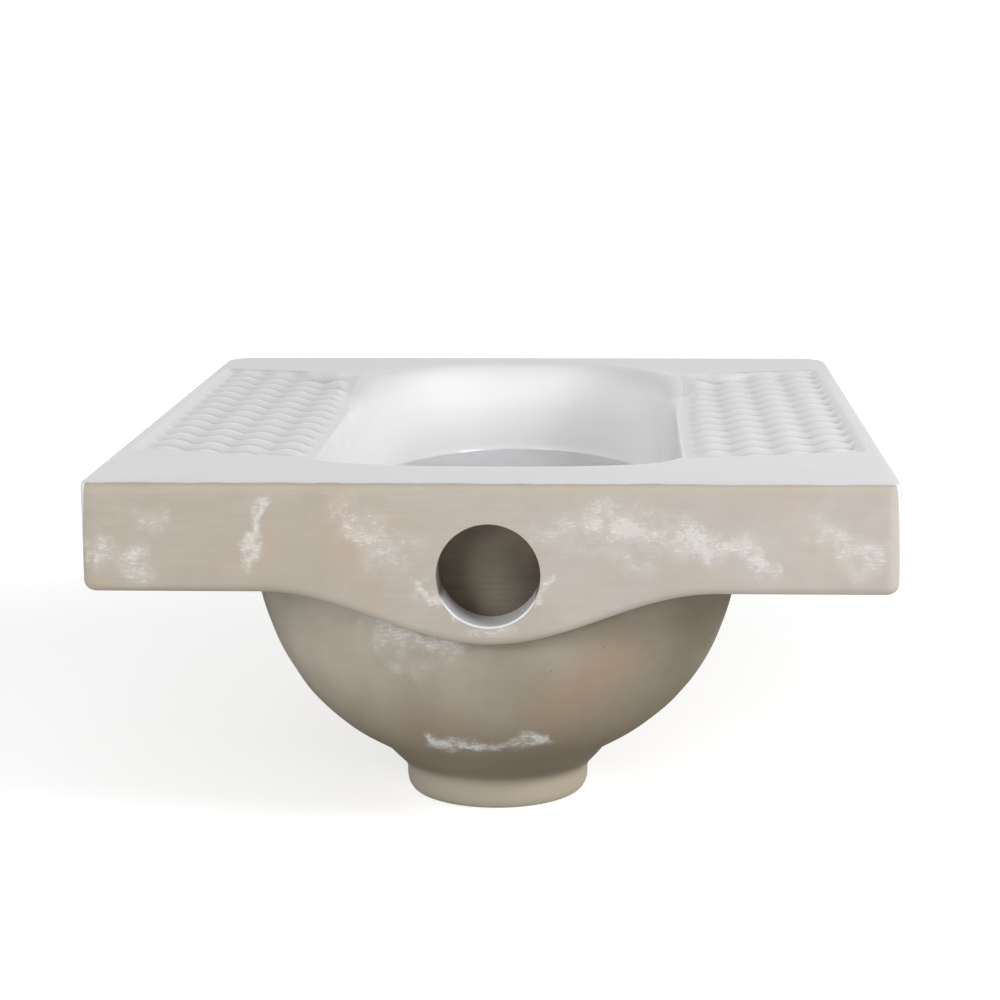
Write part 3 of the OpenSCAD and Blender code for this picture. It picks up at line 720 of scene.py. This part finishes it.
def collar_mesh():
    """A tube turned round the inlet's axis: a thin sleeve through the apron and a full wall behind it,
    with a lip whose rounding grows towards the bottom."""
    angle = np.radians(360 * np.arange(HOLE_STEPS) / HOLE_STEPS)
    ring = np.stack([np.cos(angle), 0 * angle, np.sin(angle)], -1)
    lip = (0.4 + (LIP_ROUND - 0.4) * ease(-0.1 - ring[:, 2]))[:, None]
    a = quarter_turn(7)
    face_r, full, back = INLET_R + FACE_WALL, INLET_R + COLLAR_WALL, APRON_IN_Y - Y_REAR
    radii = [face_r, *(INLET_R + lip * (1 - np.sin(t)) for t in a), INLET_R, full, full, face_r]
    places = [0, *(lip * (1 - np.cos(t)) for t in a), INLET_LEN, INLET_LEN, back, back]
    rows = [ring * radius + (Y_REAR + place) * np.array([0, 1, 0]) + [0, 0, INLET_Z]
            for radius, place in zip(radii, places)]
    grid = np.stack(rows)
    return grid, ring_faces(len(grid), HOLE_STEPS, True, True).tolist()


# ---------------------------------------------------------------- material tools
class Tree:
    """A node tree with short calls for the nodes used here. Values may be sockets or constants."""

    def __init__(self, tree):
        self.tree = tree
        self.nodes = tree.nodes
        self.column = 0

    def node(self, kind, inputs=(), **settings):
        """A new node with its inputs fed and its settings set."""
        made = self.nodes.new(kind)
        self.column += 1
        made.location = (180 * self.column, -160 * (self.column % 5))
        for key, value in settings.items():
            setattr(made, key, value)
        for key, value in dict(inputs).items():
            self.feed(made.inputs[key], value)
        return made

    def feed(self, socket, value):
        """Link a socket to an input, or set the input itself."""
        if isinstance(value, bpy.types.NodeSocket):
            self.tree.links.new(value, socket)
        else:
            socket.default_value = value

    def math(self, operation, *values, clamp=False):
        """A number worked out from others."""
        return self.node("ShaderNodeMath", enumerate(values), operation=operation, use_clamp=clamp).outputs[0]

    def times(self, a, b):
        """a times b."""
        return self.math("MULTIPLY", a, b)

    def line(self, value, slope, base):
        """value times slope, plus base."""
        return self.math("MULTIPLY_ADD", value, slope, base)

    def vector(self, operation, *values, scale=None):
        """A vector, or its length, worked out from others."""
        made = self.node("ShaderNodeVectorMath", enumerate(values), operation=operation)
        if scale is not None:
            self.feed(made.inputs["Scale"], scale)
        return made.outputs["Value" if operation in ("LENGTH", "DISTANCE", "DOT_PRODUCT") else "Vector"]

    def split(self, place):
        """x, y and z of a place."""
        return self.node("ShaderNodeSeparateXYZ", {0: place}).outputs

    def step(self, value, low, high):
        """0 at low and 1 at high, eased between them."""
        made = self.node("ShaderNodeMapRange", {"Value": value, "From Min": low, "From Max": high},
                         interpolation_type="SMOOTHSTEP")
        return made.outputs["Result"]

    def between(self, value, low, high):
        """low at 0 and high at 1, in a straight line."""
        made = self.node("ShaderNodeMapRange", {"Value": value, "To Min": low, "To Max": high})
        return made.outputs["Result"]

    def blend(self, factor, a, b):
        """Colour a where the factor is 0 and b where it is 1."""
        made = self.node("ShaderNodeMix", data_type="RGBA")
        for socket, value in zip((made.inputs[0], made.inputs[6], made.inputs[7]), (factor, a, b)):
            self.feed(socket, value)
        return made.outputs[2]

    def noise(self, place, scale, detail=3.0, roughness=0.5, stretch=None):
        """Clouds from 0 to 1."""
        if stretch:
            place = self.vector("MULTIPLY", place, stretch)
        made = self.node("ShaderNodeTexNoise", {"Vector": place, "Scale": scale, "Detail": detail,
                                                "Roughness": roughness})
        return made.outputs["Fac"]

    def cells(self, place, scale):
        """Distance to the nearest of some scattered points, and that point's own colour."""
        made = self.node("ShaderNodeTexVoronoi", {"Vector": place, "Scale": scale})
        return made.outputs["Distance"], made.outputs["Color"]

    def group(self, group, **values):
        """The outputs of a node group."""
        made = self.node("ShaderNodeGroup", node_tree=group)
        for key, value in values.items():
            self.feed(made.inputs[key], value)
        return made.outputs


KINDS = {"f": "NodeSocketFloat", "c": "NodeSocketColor", "v": "NodeSocketVector"}
SURFACE = {"Colour": "c", "Roughness": "f", "Height": "f"}


def new_group(name, inputs, outputs):
    """A shader node group that takes a place and inputs, which map names to a kind letter and a default.
    outputs map names to a letter. Returns its tree, the place, the inputs' sockets and the outputs'."""
    tree = bpy.data.node_groups.new(name, "ShaderNodeTree")
    for key, (kind, default) in {"Place": ("v", (0, 0, 0)), **inputs}.items():
        socket = tree.interface.new_socket(key, in_out="INPUT", socket_type=KINDS[kind])
        socket.default_value = default
    for key, kind in outputs.items():
        tree.interface.new_socket(key, in_out="OUTPUT", socket_type=KINDS[kind])
    t = Tree(tree)
    source, sink = t.node("NodeGroupInput"), t.node("NodeGroupOutput")
    return t, source.outputs["Place"], source.outputs, sink.inputs


def colour(red, green, blue):
    """An sRGB colour given as 0 to 255, as the linear value that a shader takes."""
    linear = [c / 12.92 if c <= 0.04045 else ((c + 0.055) / 1.055) ** 2.4 for c in
              (red / 255, green / 255, blue / 255)]
    return (*linear, 1.0)


# ---------------------------------------------------------------- finishes
def glaze_group():
    """Fired white glaze: faint clouds of shade, rare pin specks, soft ripples."""
    t, place, given, out = new_group("glaze_coat", {
        "White": ("c", colour(228, 229, 229)), "Shade": ("c", colour(205, 207, 209)),
        "Clouding": ("f", 0.35), "Specks": ("f", 0.5), "Ripple": ("f", 0.05), "Gloss": ("f", 0.07)}, SURFACE)
    cloud = t.step(t.noise(place, 0.018, 3), 0.4, 0.75)
    tone = t.blend(t.times(cloud, given["Clouding"]), given["White"], given["Shade"])
    near, pick = t.cells(place, 0.11)
    chosen = t.math("GREATER_THAN", t.node("ShaderNodeSeparateColor", {0: pick}).outputs[0], 0.93)
    speck = t.times(t.step(near, 0.075, 0.03), chosen)
    speck = t.times(speck, given["Specks"])
    t.feed(out["Colour"], t.blend(speck, tone, colour(120, 108, 92)))
    fine = t.noise(place, 0.35, 2)
    t.feed(out["Roughness"], t.line(fine, 0.05, given["Gloss"]))
    wave = t.times(t.noise(place, 0.045, 2), given["Ripple"])
    t.feed(out["Height"], t.line(fine, 0.006, wave))
    return t.tree


def clay_group():
    """Raw fired clay: level brush grain, wide blotches of two tones, a dusting of pale grains, pits."""
    t, place, given, out = new_group("raw_clay_body", {
        "Pale": ("c", colour(200, 190, 178)), "Deep": ("c", colour(176, 164, 146)),
        "Warm": ("c", colour(205, 176, 152)), "Grain": ("f", 0.5), "Blotch": ("f", 0.5),
        "Warmth": ("f", 0.3), "Pits": ("f", 0.5), "Relief": ("f", 0.08)}, SURFACE)
    wide = t.step(t.noise(place, 0.016, 4, 0.6), 0.36, 0.66)
    grain = t.noise(place, 1.0, 4, 0.65, stretch=(0.035, 0.035, 0.55))
    streak = t.times(t.step(grain, 0.35, 0.7), given["Grain"])
    tone = t.blend(t.times(wide, given["Blotch"]), given["Pale"], given["Deep"])
    tone = t.blend(streak, tone, given["Deep"])
    warm = t.times(t.step(t.noise(place, 0.022, 2), 0.52, 0.72), given["Warmth"])
    tone = t.blend(warm, tone, given["Warm"])
    dust = t.noise(place, 0.9, 3, 0.7)
    tone = t.blend(t.times(t.step(dust, 0.56, 0.8), 0.25), tone, colour(226, 220, 210))
    near, pick = t.cells(place, 0.13)
    chosen = t.math("GREATER_THAN", t.node("ShaderNodeSeparateColor", {0: pick}).outputs[1], 0.86)
    pit = t.times(t.times(t.step(near, 0.10, 0.03), chosen), given["Pits"])
    tone = t.blend(pit, tone, colour(96, 84, 68))
    t.feed(out["Colour"], tone)
    t.feed(out["Roughness"], t.between(dust, 0.62, 0.85))
    rough = t.line(grain, 0.7, t.times(dust, 0.5))
    t.feed(out["Height"], t.math("SUBTRACT", t.times(rough, given["Relief"]), t.times(pit, 0.25)))
    return t.tree


def reach_group():
    """Where the glaze ends. It covers the top and the rounded edge of the rear face, runs further down
    the other sides, and lines the inlet and the lower part of its lip. Band is the strip below it. Bore
    marks the inlet's bore, where the clay is painted dark as painted shade."""
    t, place, given, out = new_group("glaze_reach", {"Wander": ("f", 1.0)},
                                     {"Mask": "f", "Band": "f", "Bore": "f"})
    x, y, z = t.split(place)
    side = t.step(t.math("ABSOLUTE", x), HALF_W - 4.5, HALF_W + 0.5)
    side = t.times(side, side)
    front = t.step(y, Y_FRONT - 30, Y_FRONT - 1)
    wander = t.times(t.math("SUBTRACT", t.noise(place, 0.05, 3, 0.6), 0.5), given["Wander"])
    edge = t.line(t.math("MAXIMUM", side, front), -62, TOP_Z - 0.45)
    edge = t.math("ADD", edge, t.times(wander, t.line(side, 9, 1)))
    over = t.math("SUBTRACT", z, edge)
    centred = t.vector("MULTIPLY", t.vector("SUBTRACT", place, (0, 0, INLET_Z)), (1, 0, 1))
    reach = t.line(t.step(z, INLET_Z - 4, INLET_Z - 22), LIP_ROUND - 0.3, INLET_R + 0.1)
    bore = t.step(t.math("SUBTRACT", t.vector("LENGTH", centred), reach), 0.3, -0.3)
    t.feed(out["Bore"], bore)
    lined = t.times(bore, t.step(z, INLET_Z - 9, INLET_Z - 17))
    t.feed(out["Mask"], t.math("MAXIMUM", t.step(over, -0.2, 0.2), lined))
    t.feed(out["Band"], t.times(t.step(over, -6.5, -5), t.math("SUBTRACT", 1, side)))
    return t.tree


# Marks on the clay: start and end in the part's frame, half width, strength. The rear face's own
# leave out y.
FACE_SCUFFS = [
    (-120.5, 177, -124.0, 148, 7.0, 1.0),
    (30, 166, 78, 174, 16.0, 0.55),
    (60, 170, 104, 163, 18.0, 1.0),
    (100, 163, 134, 155, 13.0, 1.25),
    (126, 155, 146, 144, 9.0, 1.25),
    (50, 156, 84, 146, 15.0, 0.5),
    (176, 168, 200, 150, 17.0, 0.7),
    (-206, 154, -182, 144, 16.0, 0.85),
    (-195, 171, -172, 168, 12.0, 0.5),
    (-76, 172, -50, 152, 20.0, 0.7),
    (-60, 146, -38, 158, 14.0, 0.5),
    (-36, 137, -19, 121, 8.0, 0.95),
    (29, 137, 27, 128, 5.0, 0.9),
    (-8, 112, 16, 113, 5.0, 0.6),
]
SCUFFS = [((x0, Y_REAR, z0), (x1, Y_REAR, z1), half_width, strength)
          for x0, z0, x1, z1, half_width, strength in FACE_SCUFFS]
HULL_SCUFFS = [((-32, -87, 50), (-8, -89, 46.5), 6.0, 1.3), ((-8, -89, 46.5), (32, -86, 52), 6.0, 1.3),
               ((-60, -76, 111), (-21, -81, 99), 16.0, 0.9), ((-50, -80, 90), (-36, -82, 88), 9.0, 0.6)]
HULL_WARMTH = [((35, -84, 66), (70, -74, 94), 26.0, 1.0), ((-40, -85, 56), (-18, -88, 62), 12.0, 1.0)]
CHANNEL_DUST = [((-13, -60, 135), (11, -60, 145), 5.0, 0.8), ((-8, -60, 128), (14, -60, 127), 9.0, 0.7)]
# Heights over which the hull's painted shade comes in, from none to full.
NECK_SHADE_TOP, NECK_SHADE_FULL = 100.0, 36.0
CLAY_SHINE, DECK_SHINE, TREAD_SHINE, BOWL_SHINE = 0.2, 0.35, 0.4, 0.35
# Painted shade: the dark brown of the clay in the inlet's bore.
BORE_SHADE = colour(112, 102, 88)
SPIGOT_TONES = colour(174, 166, 151), colour(192, 181, 162)
# Painted shade: the grey that the glaze turns to on the front land.
FRONT_LAND_SHADE = colour(219, 219, 223)


def mark_thickness(t, place, marks):
    """How far a place lies inside any of the marks: 1 on a mark's line, 0 at its half width."""
    total = 0.0
    for start, end, half_width, strength in marks:
        start, along = Vector(start), Vector(end) - Vector(start)
        offset = t.vector("SUBTRACT", place, tuple(start))
        share = t.math("DIVIDE", t.vector("DOT_PRODUCT", offset, tuple(along)), along.length_squared,
                       clamp=True)
        distance = t.vector("DISTANCE", offset, t.vector("SCALE", tuple(along), scale=share))
        fade = t.math("SUBTRACT", 1, t.math("DIVIDE", distance, half_width), clamp=True)
        total = t.math("MAXIMUM", t.times(fade, strength), total)
    return total


def scuff_group(name, marks):
    """Chalky marks: patches break up the thickness of the powder, and it shows as a thin haze with
    level strokes and bright grains in it."""
    t, place, given, out = new_group(name, {"Strength": ("f", 1.0)}, {"Mask": "f"})
    sway = t.line(t.noise(place, 0.06, 3, 0.6), 34, -17)
    total = mark_thickness(t, t.vector("ADD", place, t.vector("SCALE", (1, 0, 0.7), scale=sway)), marks)
    patches = t.step(t.noise(place, 0.10, 3, 0.6), 0.34, 0.60)
    thick = t.times(total, t.between(patches, 0.45, 1.0))
    strokes = t.noise(place, 1.0, 5, 0.75, stretch=(0.24, 0.24, 0.8))
    grains = t.step(t.noise(place, 1.5, 3, 0.7), 0.42, 0.66)
    stroke = t.step(t.line(t.math("SUBTRACT", strokes, 0.5), 2.2, thick), 0.36, 0.85)
    lit = t.times(stroke, t.between(grains, 0.5, 1.0))
    haze = t.times(t.step(thick, 0.03, 0.75), 0.30)
    powder = t.times(t.math("MAXIMUM", lit, haze), t.math("MINIMUM", t.times(total, 5), 0.9))
    t.feed(out["Mask"], t.times(powder, given["Strength"]))
    return t.tree


def new_material(name, shine):
    """A material: itself, its tree, its shader and the place on the object in millimetres."""
    material = bpy.data.materials.new(name)
    material.use_nodes = True
    t = Tree(material.node_tree)
    shader = material.node_tree.nodes["Principled BSDF"]
    shader.inputs["Specular IOR Level"].default_value = shine
    place = t.vector("SCALE", t.node("ShaderNodeTexCoord").outputs["Object"], scale=1 / MM)
    return material, t, shader, place


def finish_surface(t, shader, tone, found):
    """Colour, roughness and a bump whose height is in millimetres."""
    t.feed(shader.inputs["Base Color"], tone)
    t.feed(shader.inputs["Roughness"], found["Roughness"])
    bump = t.node("ShaderNodeBump", {"Height": found["Height"], "Distance": MM, "Strength": 1.0})
    t.feed(shader.inputs["Normal"], bump.outputs[0])


def tread_hollows(t, _):
    """Painted shade: 1 in the hollows of the treads, their grooves and lobe valleys, as their meshes say."""
    return t.node("ShaderNodeAttribute", attribute_name="hollow").outputs["Fac"]


def painted_floor_shade(t, place):
    """Painted shade: 1 on the bowl's shallow floor, where the bowl's glaze is tinted grey, and 0 on the walls
    above it.
    """
    _, y, z = t.split(place)
    return t.times(t.step(z, FLOOR_Z + 1.0, FLOOR_Z + 0.1), t.step(y, 150, 240))


def glaze_material(name, group, shine, tint, where, **values):
    """Glaze alone, with a tint of painted shade at the places that the function where gives."""
    material, t, shader, place = new_material(name, shine)
    found = t.group(group, Place=place, **values)
    finish_surface(t, shader, t.blend(where(t, place), found["Colour"], tint), found)
    return material


def across(t, place, left, right, reach):
    """A colour that runs from left to right between -reach and reach on x, in millimetres."""
    return t.blend(t.step(t.split(place)[0], -reach, reach), left, right)


def clay_material(name, group, pale, deep, reach, scuffs, neck_shade=None, warmed=(), **values):
    """Clay alone. pale and deep are each a pair of colours, for the left and the right, reach is how far
    off the middle they are pure; their run from left to right is painted light and shade. The colour
    given after the scuffs is the painted shade low on the hull, darkest over the neck, and warmed a
    colour with the marks where it shows."""
    material, t, shader, place = new_material(name, CLAY_SHINE)
    found = t.group(group, Place=place, Pale=across(t, place, *pale, reach),
                    Deep=across(t, place, *deep, reach), **values)
    tone = found["Colour"]
    if warmed:
        warmth = t.step(mark_thickness(t, place, warmed[1]), 0, 1)
        tone = t.blend(t.times(warmth, 0.5), tone, warmed[0])
    if neck_shade:
        # Painted shade: the hull darkens from the belly down to the neck and clears again on the spigot.
        z = t.split(place)[2]
        low = t.times(t.step(z, NECK_SHADE_TOP, NECK_SHADE_FULL), t.step(z, SPIGOT_STRAIGHT, SPIGOT_TOP + 6))
        tone = t.blend(t.times(low, 0.75), tone, neck_shade)
        tone = t.blend(t.step(z, SPIGOT_TOP + 2, SPIGOT_STRAIGHT), tone, across(t, place, *SPIGOT_TONES, 50))
    tone = t.blend(t.group(scuffs, Place=place)["Mask"], tone, colour(226, 226, 226))
    finish_surface(t, shader, tone, found)
    return material


def glazed_clay_material(name, glaze, clay, reach, scuffs, glaze_values, clay_values, band):
    """Clay with the glaze over part of it, by the reach mask, and a stained band below the glaze. The
    glaze is painted greyer on the front land, as painted shade. The clay is painted lighter to the right,
    as painted light, and dark in the inlet's bore, as painted shade."""
    material, t, shader, place = new_material(name, DECK_SHINE)
    coat = t.group(glaze, Place=place, **glaze_values)
    # The clay is painted lighter towards the right: painted light.
    body = t.group(clay, Place=place,
                   Pale=across(t, place, colour(189, 180, 167), colour(206, 199, 191), HALF_W),
                   Deep=across(t, place, colour(178, 168, 152), colour(195, 186, 176), HALF_W), **clay_values)
    limit = t.group(reach, Place=place)
    tone = t.blend(t.times(limit["Band"], 0.35), body["Colour"], band)
    # Painted shade: the clay in the inlet's bore is painted dark.
    tone = t.blend(limit["Bore"], tone, BORE_SHADE)
    tone = t.blend(t.group(scuffs, Place=place)["Mask"], tone, colour(236, 234, 231))
    # Painted shade: the glaze turns grey towards the front land.
    front = t.step(t.split(place)[1], 290, 380)
    tone = t.blend(limit["Mask"], tone, t.blend(front, coat["Colour"], FRONT_LAND_SHADE))
    glazed = {"Roughness": coat["Roughness"], "Height": t.math("ADD", coat["Height"], GLAZE_T)}
    finish_surface(t, shader, tone, {
        key: t.node("ShaderNodeMix", {0: limit["Mask"], 2: body[key], 3: value}).outputs[0]
        for key, value in glazed.items()})
    return material


glaze, clay, reach = glaze_group(), clay_group(), reach_group()
# The treads' tint is painted shade, laid in their grooves and lobe valleys.
tread_white = glaze_material("tread_white", glaze, TREAD_SHINE, colour(205, 206, 211), tread_hollows,
                             White=colour(252, 252, 254), Shade=colour(246, 247, 250))
# The bowl's floor tint is painted shade.
bowl_white = glaze_material("bowl_white", glaze, BOWL_SHINE, colour(227, 228, 230), painted_floor_shade,
                            White=colour(252, 252, 253), Shade=colour(247, 247, 249), Clouding=0.25,
                            Ripple=0.10)
# The hull's clay is painted darker towards the right and darker low down: painted shade.
hull_body_shaded = clay_material("hull_body_shaded", clay, (colour(184, 176, 163), colour(160, 152, 135)),
                          (colour(166, 158, 143), colour(142, 133, 115)), 130,
                          scuff_group("hull_scuffs", HULL_SCUFFS), colour(118, 106, 88),
                          (colour(172, 142, 120), HULL_WARMTH), Warmth=0.0, Grain=0.15, Blotch=0.8)
# Lighter on the left and much darker on the right: painted light and shade inside the inlet.
channel_body_shaded = clay_material("channel_body_shaded", clay, (colour(206, 194, 174), colour(100, 92, 81)),
                             (colour(182, 170, 151), colour(84, 77, 67)), 30,
                             scuff_group("channel_dust", CHANNEL_DUST))
rim_body_shaded = glazed_clay_material("rim_body_shaded", glaze, clay, reach, scuff_group("apron_scuffs", SCUFFS),
                                {"White": colour(240, 240, 243), "Shade": colour(226, 227, 231)},
                                {"Warmth": 0.25, "Grain": 0.45, "Blotch": 0.8}, colour(200, 190, 172))


# ---------------------------------------------------------------- pieces
deck = deck_grid()
make_piece("deck_glazed", deck, ring_faces(*deck.shape[:2], True, True).tolist(), [rim_body_shaded],
           "glazed_white", ["deck"])
for side, word in ((1, "right"), (-1, "left")):
    points, faces, hollow = tread_mesh(side)
    make_piece(f"tread_{word}_glazed", points, faces, [tread_white], "glazed_white", [f"tread_{word}"],
               hollow=hollow)

points, faces, skin = walled(*bowl_grids())
make_piece("bowl_glazed", points, faces, [bowl_white, channel_body_shaded], "glazed_white",
           ["bowl_left", "bowl_right"], face_material=np.arange(len(faces)) >= skin)

points, faces, skin = walled(*hull_grids())
make_piece("hull_clay", points, faces, [hull_body_shaded, channel_body_shaded], "raw_clay",
           ["jacket_left", "jacket_right", "outlet_spigot"], face_material=np.arange(len(faces)) < skin)

aprons = apron_grid()
around, rear_end, front_end = aprons.shape[1], run_end("rear_return"), run_end("front_flank")
make_piece("rear_apron_clay", *rear_apron_mesh(aprons), [rim_body_shaded], "raw_clay", ["rear_apron"])
sectors = {"skirt_right": (rear_end, front_end), "front_apron": (front_end, around - front_end),
           "skirt_left": (around - front_end, around - rear_end)}
for node, ends in sectors.items():
    make_piece(f"{node}_clay", *sector_mesh(aprons, *ends), [rim_body_shaded], "raw_clay", [node])
make_piece("inlet_collar_clay", *collar_mesh(), [rim_body_shaded], "raw_clay", ["inlet_collar"])


# ---------------------------------------------------------------- floor, light and camera
def white_floor():
    """A wide pale floor. To the camera it adds a glow of its own, so that it shows white beside the
    object's shadow."""
    bpy.ops.mesh.primitive_plane_add(size=40)
    floor = bpy.context.object
    floor.name = "floor"
    material, t, shader, _ = new_material("pale_floor", 0.1)
    shader.inputs["Base Color"].default_value = (0.8, 0.8, 0.8, 1)
    shader.inputs["Roughness"].default_value = 0.9
    seen = t.node("ShaderNodeLightPath").outputs["Is Camera Ray"]
    away = t.vector("LENGTH", t.node("ShaderNodeTexCoord").outputs["Object"])
    shader.inputs["Emission Color"].default_value = (1, 1, 1, 1)
    glow = t.math("ADD", t.step(away, 0.45, 1.6), 0.62)
    t.feed(shader.inputs["Emission Strength"], t.times(seen, glow))
    floor.data.materials.append(material)


def sky(strength):
    """White behind the object and in its reflections, and an even dim light from all round."""
    world = bpy.data.worlds.new("surroundings")
    bpy.context.scene.world = world
    world.use_nodes = True
    t = Tree(world.node_tree)
    path = t.node("ShaderNodeLightPath").outputs
    seen = t.math("MAXIMUM", path["Is Camera Ray"], path["Is Glossy Ray"])
    seen = t.math("MAXIMUM", seen, path["Is Transmission Ray"])
    background = world.node_tree.nodes["Background"]
    background.inputs["Color"].default_value = (1, 1, 1, 1)
    t.feed(background.inputs["Strength"], t.between(seen, strength, 1.0))


def soft_lamp(name, place, target, size, power):
    """A white area lamp that faces its target."""
    data = bpy.data.lights.new(name, "AREA")
    data.shape, data.size, data.size_y = "RECTANGLE", *size
    data.energy = power
    lamp = bpy.data.objects.new(name, data)
    lamp.location = place
    lamp.rotation_euler = (Vector(target) - Vector(place)).to_track_quat("-Z", "Y").to_euler()
    bpy.context.scene.collection.objects.link(lamp)


def photo_camera():
    """The photograph's long lens, a little above the deck and to the right of the middle."""
    yaw, pitch, roll = 0.04773, 0.18024, -0.00443
    forward = Vector((-math.sin(yaw) * math.cos(pitch), math.cos(yaw) * math.cos(pitch), -math.sin(pitch)))
    right = Vector((math.cos(yaw), math.sin(yaw), 0))
    up = right.cross(forward)
    turned = right * math.cos(roll) + up * math.sin(roll)
    upright = up * math.cos(roll) - right * math.sin(roll)
    data = bpy.data.cameras.new("photo_camera")
    data.lens, data.sensor_width = 91.0, 36
    camera = bpy.data.objects.new("photo_camera", data)
    camera.matrix_world = Matrix.LocRotScale(
        Vector((0.06812, -1.38567, 0.41689)),
        Matrix((turned, upright, -forward)).transposed().to_quaternion(), None)
    bpy.context.scene.collection.objects.link(camera)
    bpy.context.scene.camera = camera


white_floor()
sky(0.22)
soft_lamp("front_softbox", (-1.10, -1.50, 1.10), (0, 0.1, 0.12), (1.0, 0.8), 12.8)
soft_lamp("low_softbox", (-0.90, -2.30, 0.45), (0, 0, 0.1), (0.8, 0.6), 14.5)
soft_lamp("right_softbox", (1.45, -0.35, 0.75), (0, 0.15, 0.15), (0.8, 0.7), 17)
photo_camera()
bpy.context.scene.view_settings.view_transform = "Standard"
